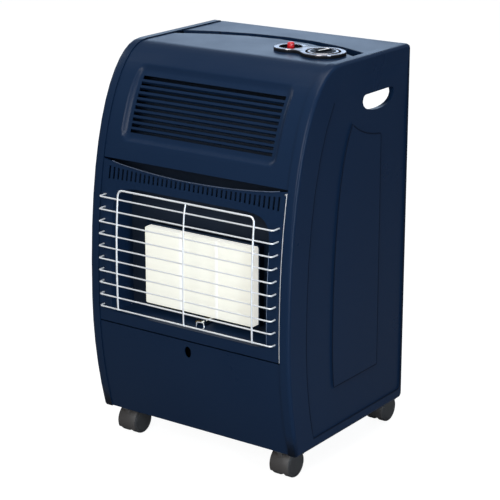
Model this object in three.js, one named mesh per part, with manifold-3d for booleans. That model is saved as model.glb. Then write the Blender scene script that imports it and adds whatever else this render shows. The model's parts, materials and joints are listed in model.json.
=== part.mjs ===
// Portable gas cabinet heater: a bowed cabinet on four twin-wheel casters, with a louvred
// warm-air outlet, a ceramic burner behind a wire guard, and a tap and igniter on top.
// Millimetres, +Z up, the front faces -Y. The pieces are drawn with the cabinet's rear face at
// y = 0 and its bottom edge at z = 0, and the whole is then set on its bottom centre.
import * as THREE from 'three';
import { mergeVertices } from 'three/addons/utils/BufferGeometryUtils.js';
import Module from 'manifold-3d';

const wasm = await Module();
wasm.setup();

// ---------------------------------------------------------------- driving dimensions
const fit = 0.3; // gap between pieces that touch
const seam = 0.6; // visible joint between the front panels and the side flanges

// Cabinet outline, seen from the side
const cabinetWidth = 420;
const bodyHeight = 650;
const footDepth = 340; // at the bottom edge
const bulgeDepth = 369; // at the fullest point of the front
const bulgeHeight = 210;
const topDepth = 225; // flat top, from the rear face
const curveRise = 335; // how far the front keeps its fullness above the bulge
const curveReach = 60; // how far the top keeps its level before the flat
const rearCorner = 9; // radius of the side panels' rear corners
const cabinetHalf = cabinetWidth / 2;

// Side panels
const sideWall = 4;
const sideFlange = 18.5;
const edgeRound = 6;
const embossDepth = 2.6;
const embossSlope = 4;
const fieldMargin = 52; // from the fullest point of the front to the pressed field
const fieldRear = 9;
const fieldFoot = 19;
const padRear = 88; // raised pad inside the field, from the rear face
const padFront = 241;
const padFoot = 88;
const padTop = bodyHeight - 136;
const fadeBelow = 22; // the press mark fades out this far below the top
const fadeLength = 95;
const handleLength = 99;
const handleHeight = 31;
const handleTop = bodyHeight - 65;
const handleFromRear = 53;
const handleLip = 7;
const handleLipWall = 1.8;

// Front panels
const panelSheet = 2;
const panelReturn = 13;
const lowerPanelTop = 170.5;
const sightBelowTop = 19.2; // centre of the oval hole, below the lower panel's top
const panelJoint = 2.5; // dark line between stacked panels
const upperPanelFoot = bodyHeight - 187;
const crescentRise = 14; // how much higher the crescent's ends are than its middle
const crescentDrop = 17; // depth of the crescent below the upper panel at the middle

// Warm-air outlet
const louvreCount = 10;
const louvreLow = upperPanelFoot + 45;
const louvreHigh = bodyHeight - 44;
const louvreHalfWidth = cabinetHalf - 63;
const louvreOpen = 0.58; // share of the pitch that is open
const louvreBlade = 9;
const bladeSheet = 1.2;
const recessBorder = 15;
const recessDepth = 6;
const recessSlope = 9;
const recessCorner = 20;

// Vent slots above the burner
const ventCount = 38;
const ventHalfRun = cabinetHalf - 34.25;
const ventWidth = 4;
const ventBelowEdge = 8;

// Burner mouth and burner
const mouthHalfWidth = cabinetHalf - 46;
const mouthLow = lowerPanelTop + 22.5;
const mouthHigh = upperPanelFoot - 46;
const ventFoot = mouthHigh + 10;
const mouthCollarWall = 1.6;
const bayDepth = 304; // from the rear face to the bulkhead
const bulkheadSheet = 2;
const bulkheadTop = upperPanelFoot - 6;
const bulkheadFlange = 12;
const burnerWidth = 232;
const burnerHeight = 141;
const burnerLow = mouthLow + 15.5;
const burnerFront = 333;
const plaqueDepth = 13;
const plaqueCount = 3;
const frameLip = 2.4;
const housingWall = 1.5;
const inletX = 100; // throat at the back of the burner
const inletHeight = burnerLow + 38.5;
const throatRadius = 6;
const throatLength = 16;
const injectorSize = 16;
const pipeRadius = 4;
const pipeX = cabinetHalf - 32; // where the feed pipe comes down beside the bottle bay

// Wire guard
const guardWires = 10;
const guardLow = mouthLow + 10.5;
const guardPitch = 21.8;
const guardHalfWidth = cabinetHalf - 29;
const guardStandLow = 11; // in front of the panel at the lowest wire
const guardStandGain = 7; // more in front at the top
const wireRadius = 1.5;
const loopRadius = 1.8;
const loopHalfWidth = guardHalfWidth - 38;
const loopTop = guardLow + (guardWires - 1) * guardPitch + 17;
const loopCorner = 10;
const weldSink = 0.72; // spacing of crossing bars, as a share of their radii
const wireBend = 5;
const wireBite = 6; // how far a wire's end reaches into its hole

// Top: air gap, rear cover and controls
const airGap = 12;
const gapEndDepth = 127; // from the rear, at the cabinet's sides
const gapMidDepth = 88; // from the rear, on the centre line
const coverReturn = 18;
const knobX = cabinetHalf - 71.5;
const knobFromRear = 167;
const buttonX = knobX - 69;
const buttonFromRear = 161;
const knobRingOuter = 42;
const knobRingInner = 35.4;
const buttonRingOuter = 30;
const buttonRingInner = 22.5;
const fasciaSheet = 1.5;
const bezelHeight = 6;
const bezelRound = 1;
const trimSheet = 1.2; // bright plate on the black bezel
const trimInset = 1; // its edge inside the bezel's
const wellDepth = 11; // of the round well that the knob sits in
const wellWall = 1.2;
const wellFlange = 2.2;
const knobRadius = 27.2;
const knobSkirt = 34.4;
const knobProud = 0.4; // knob's face over the bezel
const knobAngle = -13; // of the pointer from straight back, in degrees
const pressTravel = 5;
const spindleRadius = 3;
const buttonRadius = 6;
const buttonHeight = 10;
const buttonTravel = 5;
const tapSize = 34;
const tapHeight = 46;
const piezoRadius = 9;
const piezoHeight = 52;

// Base, rear cover
const baseSheet = 3;
const baseLip = 20;
const rearCoverTop = bodyHeight - 182;
const rearCoverReturn = 14;
const rearVentRows = 6;

// Casters
const casterX = cabinetHalf - 44;
const frontCasterDepth = 325; // swivel axis, from the rear face
const rearCasterDepth = 22;
const casterTrail = 19;
const groundDrop = 53; // floor below the cabinet's bottom edge
const wheelRadius = 24.5;
const wheelWidth = 14;
const wheelFacets = 20;
const wheelRound = 4;
const hoodFacets = 6;
const casterWeb = 9; // thickness of the hood's middle web
const hoodSheet = 1.8;
const hoodGap = 1;
const axleRadius = 2.5;
const stemRadius = 4;
const stemLength = 30;
const socketWall = 3;
const stemClearance = 0.25;

// ---------------------------------------------------------------- solids and placing
const halfWidth = cabinetWidth / 2;
const flangeX = halfWidth - sideFlange; // inner edge of the side flanges
const panelX = flangeX - seam; // half width of every front panel
const past = 1; // how far a cutter runs past the face it cuts

/** A closed geometry as a solid, turned the right way out. */
function solid(geometry) {
  let bare = geometry.index ? geometry.clone() : geometry;
  bare.deleteAttribute('normal');
  bare.deleteAttribute('uv');
  bare = mergeVertices(bare, 1e-4);
  const vertProperties = new Float32Array(bare.attributes.position.array);
  const triVerts = new Uint32Array(bare.index.array);
  const p = (i) => new THREE.Vector3().fromArray(vertProperties, 3 * i);
  let volume = 0;
  for (let t = 0; t < triVerts.length; t += 3) {
    volume += p(triVerts[t]).dot(p(triVerts[t + 1]).cross(p(triVerts[t + 2])));
  }
  if (volume < 0) {
    for (let t = 0; t < triVerts.length; t += 3) {
      [triVerts[t], triVerts[t + 1]] = [triVerts[t + 1], triVerts[t]];
    }
  }
  return new wasm.Manifold(new wasm.Mesh({ numProp: 3, vertProperties, triVerts }));
}

/** All the solids of a list as one. */
function join(list) {
  return list.reduce((whole, piece) => whole.add(piece));
}

/** A box between two x, two y and two z values. */
function box(x0, x1, y0, y1, z0, z1) {
  const geometry = new THREE.BoxGeometry(Math.abs(x1 - x0), Math.abs(y1 - y0), Math.abs(z1 - z0));
  geometry.translate((x0 + x1) / 2, (y0 + y1) / 2, (z0 + z1) / 2);
  return solid(geometry);
}

const turnToX = new THREE.Matrix4().makeBasis(
  new THREE.Vector3(0, 1, 0),
  new THREE.Vector3(0, 0, 1),
  new THREE.Vector3(1, 0, 0),
);
const turnToFront = new THREE.Matrix4().makeBasis(
  new THREE.Vector3(1, 0, 0),
  new THREE.Vector3(0, 0, 1),
  new THREE.Vector3(0, -1, 0),
);

/** Extrude an outline drawn in (y, z) from x0 to x1. */
function alongX(shape, x0, x1, options = {}) {
  const settings = { depth: x1 - x0, bevelEnabled: false, curveSegments: 6, ...options };
  const geometry = new THREE.ExtrudeGeometry(shape, settings);
  return solid(geometry.applyMatrix4(turnToX).translate(x0, 0, 0));
}

/** Extrude an outline drawn in (x, z) from the depth y0 forwards to y1. */
function alongFront(shape, y0, y1, options = {}) {
  const settings = { depth: y0 - y1, bevelEnabled: false, curveSegments: 3, ...options };
  const geometry = new THREE.ExtrudeGeometry(shape, settings);
  return solid(geometry.applyMatrix4(turnToFront).translate(0, y0, 0));
}

/** Extrude an outline drawn in (x, y) from z0 up to z1. */
function alongZ(shape, z0, z1, options = {}) {
  const settings = { depth: z1 - z0, bevelEnabled: false, curveSegments: 6, ...options };
  return solid(new THREE.ExtrudeGeometry(shape, settings).translate(0, 0, z0));
}

/** Revolve (radius, height) pairs about the vertical through (x, y). */
function turned(pairs, segments, x = 0, y = 0) {
  const profile = pairs.map(([r, h]) => new THREE.Vector2(r, h));
  const geometry = new THREE.LatheGeometry(profile, segments);
  return solid(geometry.rotateX(Math.PI / 2).translate(x, y, 0));
}

/** A straight round bar between two points. */
function bar(from, to, radius, sides = 16) {
  const a = new THREE.Vector3(...from);
  const b = new THREE.Vector3(...to);
  const geometry = new THREE.CylinderGeometry(radius, radius, a.distanceTo(b), sides);
  const way = b.clone().sub(a).normalize();
  geometry.applyQuaternion(new THREE.Quaternion().setFromUnitVectors(new THREE.Vector3(0, 1, 0), way));
  const middle = a.add(b).multiplyScalar(0.5);
  return solid(geometry.translate(middle.x, middle.y, middle.z));
}

/** An upright round bar at x, y between two heights. */
function post(x, y, z0, z1, radius, sides = 16) {
  return bar([x, y, z0], [x, y, z1], radius, sides);
}

/** A round bar that lies along the depth at x, z. */
function dowel(x, z, y0, y1, radius, sides = 16) {
  return bar([x, y0, z], [x, y1, z], radius, sides);
}

/** A route that puts one ring of a bent bar at each of its own points. */
class Route extends THREE.CatmullRomCurve3 {
  getUtoTmapping(u) {
    return u;
  }
}

/** A bent round bar through a list of points. */
function bentBar(points, radius, sides = 6) {
  const section = new THREE.Shape();
  for (let i = 0; i < sides; i += 1) {
    const a = (2 * Math.PI * (i + 0.5)) / sides;
    if (i === 0) section.moveTo(radius * Math.cos(a), radius * Math.sin(a));
    else section.lineTo(radius * Math.cos(a), radius * Math.sin(a));
  }
  const extrudePath = new Route(points, false, 'centripetal');
  const settings = { steps: points.length - 1, extrudePath, bevelEnabled: false };
  return solid(new THREE.ExtrudeGeometry(section, settings));
}

/** A polyline with each inner corner rounded by three points. */
function rounded(corners, radius) {
  const points = [corners[0].clone()];
  for (let i = 1; i < corners.length - 1; i += 1) {
    const back = corners[i - 1].clone().sub(corners[i]).normalize();
    const on = corners[i + 1].clone().sub(corners[i]).normalize();
    const start = corners[i].clone().addScaledVector(back, radius);
    const end = corners[i].clone().addScaledVector(on, radius);
    const bend = new THREE.QuadraticBezierCurve3(start, corners[i], end);
    points.push(start, bend.getPoint(0.5), end);
  }
  points.push(corners[corners.length - 1].clone());
  return points;
}

/** A rectangle with round corners, between two values each way. */
function roundedRect(x0, x1, y0, y1, r) {
  const shape = new THREE.Shape();
  shape.moveTo(x0 + r, y0);
  shape.lineTo(x1 - r, y0);
  shape.absarc(x1 - r, y0 + r, r, -Math.PI / 2, 0, false);
  shape.absarc(x1 - r, y1 - r, r, 0, Math.PI / 2, false);
  shape.absarc(x0 + r, y1 - r, r, Math.PI / 2, Math.PI, false);
  shape.absarc(x0 + r, y0 + r, r, Math.PI, 1.5 * Math.PI, false);
  return shape;
}

/** An outline moved inwards by a distance; the outline runs anticlockwise. */
function inset(points, distance) {
  const n = points.length;
  return points.map((point, i) => {
    const before = point.clone().sub(points[(i + n - 1) % n]).normalize();
    const after = points[(i + 1) % n].clone().sub(point).normalize();
    const normal = new THREE.Vector2(-before.y - after.y, before.x + after.x).normalize();
    const reach = distance / (normal.x * -before.y + normal.y * before.x);
    return point.clone().addScaledVector(normal, reach);
  });
}

// ---------------------------------------------------------------- the bowed front
const foot = new THREE.QuadraticBezierCurve(
  new THREE.Vector2(-footDepth, 0),
  new THREE.Vector2(-bulgeDepth, bulgeHeight / 2),
  new THREE.Vector2(-bulgeDepth, bulgeHeight),
);
const brow = new THREE.CubicBezierCurve(
  new THREE.Vector2(-bulgeDepth, bulgeHeight),
  new THREE.Vector2(-bulgeDepth, bulgeHeight + curveRise),
  new THREE.Vector2(-topDepth - curveReach, bodyHeight),
  new THREE.Vector2(-topDepth, bodyHeight),
);

/** The front surface at a height: its y and z and its outward normal. */
function frontAt(height) {
  if (height <= bulgeHeight) return station(foot, height / bulgeHeight);
  let low = 0;
  let high = 1;
  for (let i = 0; i < 30; i += 1) {
    const middle = (low + high) / 2;
    if (brow.getPoint(middle).y < height) low = middle;
    else high = middle;
  }
  return station(brow, high);
}

function station(curve, t) {
  const point = curve.getPoint(t);
  const way = curve.getTangent(t);
  return { y: point.x, z: point.y, ny: -way.y, nz: way.x };
}

/** Stations at evenly spaced heights, both ends included. */
function stations(low, high, count) {
  return Array.from({ length: count }, (_, i) => frontAt(low + ((high - low) * i) / (count - 1)));
}

/** A point on the front, a distance inside the surface. */
function under(at, x, depth) {
  return [x, at.y - at.ny * depth, at.z - at.nz * depth];
}

/** A sheet that follows the front between stations and x values; dent moves it inwards. */
function sheet(rows, xs, thickness, dent = () => 0, start = 0) {
  const outer = rows.map((at) => xs.map((x) => under(at, x, start + dent(x, at))));
  const inner = rows.map((at) => xs.map((x) => under(at, x, start + thickness + dent(x, at))));
  const positions = [...outer.flat(), ...inner.flat()].flat();
  const wide = xs.length;
  const tall = rows.length;
  const layer = wide * tall;
  const index = [];
  const quad = (a, b, c, d) => index.push(a, b, c, a, c, d);
  for (let r = 0; r + 1 < tall; r += 1) {
    for (let c = 0; c + 1 < wide; c += 1) {
      const i = r * wide + c;
      quad(i, i + 1, i + wide + 1, i + wide);
      quad(layer + i + wide, layer + i + wide + 1, layer + i + 1, layer + i);
    }
    const left = r * wide;
    const right = left + wide - 1;
    quad(left, left + wide, layer + left + wide, layer + left);
    quad(right + wide, right, layer + right, layer + right + wide);
  }
  for (let c = 0; c + 1 < wide; c += 1) {
    const top = (tall - 1) * wide + c;
    quad(c + 1, c, layer + c, layer + c + 1);
    quad(top, top + 1, layer + top + 1, layer + top);
  }
  const geometry = new THREE.BufferGeometry();
  geometry.setAttribute('position', new THREE.Float32BufferAttribute(positions, 3));
  geometry.setIndex(index);
  return solid(geometry);
}

/** A front panel: a sheet with a return along both sides. */
function frontPanel(rows, xs, dent) {
  const face = sheet(rows, xs, panelSheet, dent);
  const right = sheet(rows, [panelX - panelSheet, panelX], panelReturn);
  const left = sheet(rows, [-panelX, panelSheet - panelX], panelReturn);
  return join([face, right, left]);
}

/** The cabinet's side outline as points, anticlockwise in (y, z). */
function sideOutline() {
  const path = new THREE.Path();
  path.moveTo(-footDepth, 0);
  path.lineTo(-rearCorner, 0);
  path.absarc(-rearCorner, rearCorner, rearCorner, -Math.PI / 2, 0, false);
  path.lineTo(0, bodyHeight - rearCorner);
  path.absarc(-rearCorner, bodyHeight - rearCorner, rearCorner, 0, Math.PI / 2, false);
  path.lineTo(-topDepth, bodyHeight);
  const points = path.getPoints(3);
  const down = brow.getPoints(14).reverse().slice(1);
  const toFoot = foot.getPoints(5).reverse().slice(1, -1);
  const all = [...points, ...down, ...toFoot];
  return all.filter((point, i) => i === 0 || point.distanceTo(all[i - 1]) > 1e-6);
}

// ---------------------------------------------------------------- finishes
function finish(color, roughness, metalness = 0) {
  return new THREE.MeshStandardMaterial({ color, roughness, metalness });
}
const navy = finish(0x18263e, 0.38);
const navyInner = finish(0x101a2c, 0.55);
const blackSheet = finish(0x101216, 0.6);
const chrome = finish(0xe6e8ec, 0.12, 1);
const ceramic = finish(0xfaf6e6, 0.85);
const steel = finish(0x9a9da1, 0.4, 0.9);
const zinc = finish(0x6f7276, 0.5, 0.8);
const brass = finish(0xb08d3e, 0.35, 0.9);
const blackPlastic = finish(0x0d0e10, 0.45);
const redPlastic = finish(0xc8141c, 0.35);
const casterGrey = finish(0x3a3b3d, 0.5);
const wheelGrey = finish(0x2b2c2e, 0.6);

const heater = new THREE.Group();
const cabinet = new THREE.Group();
heater.add(cabinet);

/** Put a solid in the model as a named piece. */
function piece(name, shape, material) {
  const mesh = shape.getMesh();
  let geometry = new THREE.BufferGeometry();
  geometry.setAttribute('position', new THREE.Float32BufferAttribute(mesh.vertProperties, 3));
  geometry.setIndex(new THREE.Uint32BufferAttribute(mesh.triVerts, 1));
  geometry = geometry.toNonIndexed();
  geometry.computeVertexNormals();
  const node = new THREE.Mesh(geometry, material);
  node.name = name;
  cabinet.add(node);
}

// ---------------------------------------------------------------- side panels
/** Outline of the large pressed field on a side panel. */
function fieldShape() {
  const front = bulgeDepth - fieldMargin;
  const top = bodyHeight - 28;
  const shape = new THREE.Shape();
  shape.moveTo(-front + 25, fieldFoot);
  shape.lineTo(-fieldRear - 10, fieldFoot);
  shape.quadraticCurveTo(-fieldRear, fieldFoot, -fieldRear, fieldFoot + 10);
  shape.lineTo(-fieldRear, top);
  shape.lineTo(11 - topDepth, top);
  shape.bezierCurveTo(-front + 23, bodyHeight - 108, -front, 0.585 * bodyHeight, -front, bulgeHeight);
  shape.quadraticCurveTo(-front, bulgeHeight / 2, -front + 25, fieldFoot);
  return shape;
}

/** Outline of the raised pad inside that field. */
function padShape() {
  const shape = new THREE.Shape();
  shape.moveTo(-padFront + 7, padFoot);
  shape.lineTo(-padRear - 8, padFoot);
  shape.quadraticCurveTo(-padRear, padFoot, -padRear, padFoot + 8);
  shape.lineTo(-padRear - 2, padTop - 10);
  shape.quadraticCurveTo(-padRear - 2, padTop, -padRear - 12, padTop + 1);
  shape.bezierCurveTo(-padRear - 45, padTop + 4, -padRear - 77, padTop + 16, -padRear - 98, padTop + 34);
  shape.bezierCurveTo(-padFront + 12, padTop - 26, -padFront, padTop - 174, -padFront, 0.9 * bulgeHeight);
  shape.quadraticCurveTo(-padFront, 0.6 * bulgeHeight, -padFront + 7, padFoot);
  return shape;
}

/** The D-shaped hand hole, grown outwards by a margin. */
function handleShape(margin = 0) {
  const rear = -handleFromRear + margin;
  const front = -handleFromRear - handleLength - margin;
  const top = handleTop + margin;
  const low = handleTop - handleHeight - margin;
  const shoulder = handleTop - 0.4 * handleHeight;
  const middle = (rear + front) / 2;
  const corner = 10;
  const shape = new THREE.Shape();
  shape.moveTo(front + corner, top);
  shape.quadraticCurveTo(front, top, front, shoulder);
  shape.bezierCurveTo(front + 3, low + 5, middle - 22, low, middle, low);
  shape.bezierCurveTo(middle + 22, low, rear - 3, low + 5, rear, shoulder);
  shape.quadraticCurveTo(rear, top, rear - corner, top);
  return shape;
}

/** The right side panel: a tray open towards the cabinet's inside. */
function sidePanel() {
  const outline = sideOutline();
  const block = alongX(new THREE.Shape(outline), flangeX, halfWidth - edgeRound, {
    bevelEnabled: true,
    bevelThickness: edgeRound,
    bevelSize: edgeRound,
    bevelOffset: -edgeRound,
    bevelSegments: 2,
  });
  const keep = box(flangeX, halfWidth + past, -bulgeDepth - past, past, -past, bodyHeight + past);
  const hollow = alongX(new THREE.Shape(inset(outline, sideWall)), flangeX - past, halfWidth - sideWall);
  let panel = block.intersect(keep).subtract(hollow);
  panel = panel.subtract(embossCutter());
  const lip = alongX(handleShape(handleLipWall), halfWidth - sideWall - handleLip, halfWidth - sideWall / 2);
  const hole = alongX(handleShape(), flangeX - past, halfWidth + past);
  return panel.add(lip).subtract(hole);
}

/** What the press takes off the outside of the right side panel. */
function embossCutter() {
  const floor = halfWidth - embossDepth;
  const slope = {
    bevelEnabled: true,
    bevelThickness: embossDepth,
    bevelSize: embossSlope,
    bevelOffset: -embossSlope,
    bevelSegments: 1,
    curveSegments: 8,
  };
  const field = alongX(fieldShape(), halfWidth, halfWidth + 2 * embossDepth, slope);
  const pad = alongX(padShape(), floor - 2 * embossDepth, floor, slope);
  const fade = new THREE.Shape();
  const far = halfWidth + past;
  fade.moveTo(floor, -past);
  fade.lineTo(far, -past);
  fade.lineTo(far, bodyHeight);
  fade.lineTo(halfWidth, bodyHeight - fadeBelow);
  fade.lineTo(floor, bodyHeight - fadeBelow - fadeLength);
  const fadeWedge = alongFront(fade, past, -bulgeDepth);
  return field.intersect(fadeWedge).subtract(pad);
}

const rightSide = sidePanel();
piece('right_side_panel', rightSide, navy);
piece('left_side_panel', rightSide.mirror([1, 0, 0]), navy);

// ---------------------------------------------------------------- upper front panel
const gapEdge = cabinetHalf - 17; // half width at which the gap's end depth is measured

/** Outline in (x, y) of all that lies behind an arc across the top. */
function behindArc(shift) {
  const shape = new THREE.Shape();
  const end = -gapEndDepth + shift;
  const control = -gapMidDepth + shift + (gapEndDepth - gapMidDepth);
  shape.moveTo(-gapEdge, end);
  shape.quadraticCurveTo(0, control, gapEdge, end);
  shape.lineTo(gapEdge, past);
  shape.lineTo(-gapEdge, past);
  return shape;
}

/** How far inside a rounded rectangle around the louvres a point lies. */
function recessAt(x, at) {
  const middle = (louvreLow + louvreHigh) / 2;
  const halfTall = (louvreHigh - louvreLow) / 2 + recessBorder;
  const halfWide = louvreHalfWidth + recessBorder;
  const dx = Math.max(Math.abs(x) - halfWide + recessCorner, 0);
  const dz = Math.max(Math.abs(at.z - middle) - halfTall + recessCorner, 0);
  const nearest = Math.max(
    Math.abs(x) - halfWide + recessCorner,
    Math.abs(at.z - middle) - halfTall + recessCorner,
  );
  const outside = Math.hypot(dx, dz) + Math.min(nearest, 0) - recessCorner;
  const share = THREE.MathUtils.smoothstep(-outside, 0, recessSlope);
  return recessDepth * share;
}

/** Values that crowd together around the recess's edge. */
function recessLines(edge) {
  return [-recessCorner, -11, -7, -3, 0].map((step) => edge + step);
}

/** Move a solid drawn at the front's surface: y out of the surface, to a height there. */
function setOnFront(shape, height, depth = 0) {
  const at = frontAt(height);
  const tilt = THREE.MathUtils.radToDeg(Math.atan2(at.nz, -at.ny));
  const [, y, z] = under(at, 0, depth);
  return shape.rotate([-tilt, 0, 0]).translate([0, y, z]);
}

function upperFrontPanel() {
  const halfX = louvreHalfWidth + recessBorder;
  const right = [...recessLines(halfX), panelX];
  const xs = [...right.map((x) => -x).reverse(), ...right];
  const low = louvreLow - recessBorder;
  const high = louvreHigh + recessBorder;
  const heights = [
    upperPanelFoot,
    (upperPanelFoot + low) / 2,
    ...recessLines(0).map((step) => low - step).reverse(),
    ...[0.25, 0.5, 0.75].map((share) => low + recessCorner + share * (high - low - 2 * recessCorner)),
    ...recessLines(high),
    ...[0.4, 0.7, 0.88, 0.97].map((share) => high + share * (bodyHeight - high)),
  ];
  const rows = heights.sort((a, b) => a - b).map(frontAt);
  const flat = [topDepth, (topDepth + gapEndDepth) / 2, 0.4 * gapMidDepth];
  rows.push(...flat.map((depth) => ({ y: -depth, z: bodyHeight, ny: 0, nz: 1 })));
  let panel = frontPanel(rows, xs, recessAt);
  panel = panel.subtract(alongZ(behindArc(0), bodyHeight - 2 * panelReturn, bodyHeight + past));
  const top = bodyHeight - panelSheet / 2;
  const lipArc = alongZ(behindArc(-panelSheet), top - coverReturn, top);
  const lipEnd = alongZ(behindArc(0), top - coverReturn - past, top + past);
  const width = box(-panelX, panelX, -topDepth, past, 0, bodyHeight);
  panel = panel.add(lipArc.subtract(lipEnd).intersect(width));
  const pitch = (louvreHigh - louvreLow) / louvreCount;
  for (let i = 0; i < louvreCount; i += 1) {
    const centre = louvreLow + (i + 0.5) * pitch;
    const at = frontAt(centre);
    const open = (louvreOpen * pitch) / Math.max(-at.ny, 0.5);
    const slot = box(-louvreHalfWidth, louvreHalfWidth, -past, recessDepth * 3, -open / 2, open / 2);
    panel = panel.subtract(setOnFront(slot, centre));
  }
  for (let i = 0; i < louvreCount; i += 1) {
    const edge = louvreLow + (i + 0.5 - louvreOpen / 2) * pitch - bladeSheet / 2;
    const reach = louvreHalfWidth + 2;
    const blade = box(-reach, reach, 0, louvreBlade, -bladeSheet / 2, bladeSheet / 2);
    panel = panel.add(setOnFront(blade.rotate([-30, 0, 0]), edge, recessDepth + panelSheet / 2));
  }
  const wellHole = post(
    knobX,
    -knobFromRear,
    bodyHeight - 2 * panelSheet,
    bodyHeight + past,
    knobRingInner + wellWall + fit,
    28,
  );
  const buttonHole = bar(
    [buttonX, -buttonFromRear, bodyHeight - 2 * panelSheet],
    [buttonX, -buttonFromRear, bodyHeight + past],
    buttonRadius + 2,
  );
  return panel.subtract(wellHole).subtract(buttonHole);
}
piece('upper_front_panel', upperFrontPanel(), navy);

// ---------------------------------------------------------------- rear top cover
function rearTopCover() {
  const low = bodyHeight - panelSheet;
  const width = box(-panelX, panelX, -topDepth, -fit, 0, bodyHeight + past);
  const plate = alongZ(behindArc(airGap), low, bodyHeight).intersect(width);
  const skirt = alongZ(behindArc(airGap), bodyHeight - coverReturn, low + past / 2)
    .subtract(alongZ(behindArc(airGap + panelSheet), 0, bodyHeight + past))
    .intersect(width);
  const rear = box(-panelX, panelX, -fit - panelSheet, -fit, bodyHeight - coverReturn, bodyHeight);
  const sideFront = -gapEndDepth + airGap + past;
  const side = box(panelX - panelSheet, panelX, sideFront, -fit, bodyHeight - coverReturn, low + past);
  return join([plate, skirt, rear, side, side.mirror([1, 0, 0])]);
}
piece('rear_top_cover', rearTopCover(), navy);

// ---------------------------------------------------------------- burner surround
const surroundLow = lowerPanelTop + panelJoint;
const crescentMid = upperPanelFoot - crescentDrop;

/** The crescent's lower edge at a place across the front. */
function crescentAt(x) {
  return crescentMid + crescentRise * (x / panelX) ** 2;
}

/** The burner mouth, grown outwards by a margin. */
function mouthShape(margin = 0) {
  const w = mouthHalfWidth + margin;
  const low = mouthLow - margin;
  const high = mouthHigh + margin;
  const corner = 10;
  const shape = new THREE.Shape();
  shape.moveTo(corner - w, low);
  shape.lineTo(w - corner, low);
  shape.quadraticCurveTo(w, low, w, low + corner);
  shape.lineTo(w, high - 47);
  shape.bezierCurveTo(w, high - 12, w - 14, high, w - 54, high);
  shape.lineTo(54 - w, high);
  shape.bezierCurveTo(14 - w, high, -w, high - 12, -w, high - 47);
  shape.lineTo(-w, low + corner);
  shape.quadraticCurveTo(-w, low, corner - w, low);
  return shape;
}

/** Height of guard wire number i. */
function wireHeight(i) {
  return guardLow + i * guardPitch;
}

function burnerSurround() {
  const rows = stations(surroundLow, crescentMid + crescentRise, 10);
  let panel = frontPanel(rows, [-panelX, panelX]);
  const above = new THREE.Shape();
  above.moveTo(-panelX - past, crescentAt(panelX));
  above.quadraticCurveTo(0, 2 * crescentMid - crescentAt(panelX), panelX + past, crescentAt(panelX));
  above.lineTo(panelX + past, bodyHeight);
  above.lineTo(-panelX - past, bodyHeight);
  const back = -bayDepth - bulkheadSheet - fit;
  panel = panel.subtract(alongFront(above, -topDepth, -bulgeDepth - past, { curveSegments: 16 }));
  const below = stations(0, upperPanelFoot, 18);
  const behindFace = sheet(below, [-panelX, panelX], bulgeDepth, undefined, past / 2);
  const smooth = { curveSegments: 6 };
  const collar = alongFront(mouthShape(mouthCollarWall), back, -bulgeDepth - past, smooth);
  panel = panel.add(collar.intersect(behindFace));
  panel = panel.subtract(alongFront(mouthShape(), 0, -bulgeDepth - past, smooth));
  const pitch = (2 * ventHalfRun) / (ventCount - 1);
  const middleLift = 4;
  for (let i = 0; i < ventCount; i += 1) {
    const x = i * pitch - ventHalfRun;
    const top = crescentAt(x) - ventBelowEdge;
    const low = ventFoot + middleLift * (1 - (x / ventHalfRun) ** 2);
    const y = frontAt(low).y;
    const cut = box(x - ventWidth / 2, x + ventWidth / 2, y - panelSheet, y + 3 * panelSheet, low, top);
    panel = panel.subtract(cut);
  }
  for (let i = 0; i < guardWires; i += 1) {
    const { y } = frontAt(wireHeight(i));
    for (const x of [-guardHalfWidth, guardHalfWidth]) {
      const from = [x, y - 3 * panelSheet, wireHeight(i)];
      const to = [x, y + 3 * panelSheet, wireHeight(i)];
      panel = panel.subtract(bar(from, to, wireRadius + fit, 6));
    }
  }
  return panel;
}
piece('burner_surround', burnerSurround(), navy);

// ---------------------------------------------------------------- lower front panel
function lowerFrontPanel() {
  const panel = frontPanel(stations(fit, lowerPanelTop, 9), [-panelX, panelX]);
  const sightHole = new THREE.Shape();
  const sightHeight = lowerPanelTop - sightBelowTop;
  sightHole.absellipse(0, sightHeight, 7, 10.3, 0, 2 * Math.PI, false, 0);
  return panel.subtract(alongFront(sightHole, 0, -bulgeDepth - past, { curveSegments: 10 }));
}
piece('lower_front_panel', lowerFrontPanel(), navy);

// ---------------------------------------------------------------- wire guard
/** Depth of the guard's front bars at a height. */
function guardDepth(height) {
  const share = (height - guardLow) / (loopTop - guardLow);
  return frontAt(height).y - guardStandLow - guardStandGain * share;
}

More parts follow.
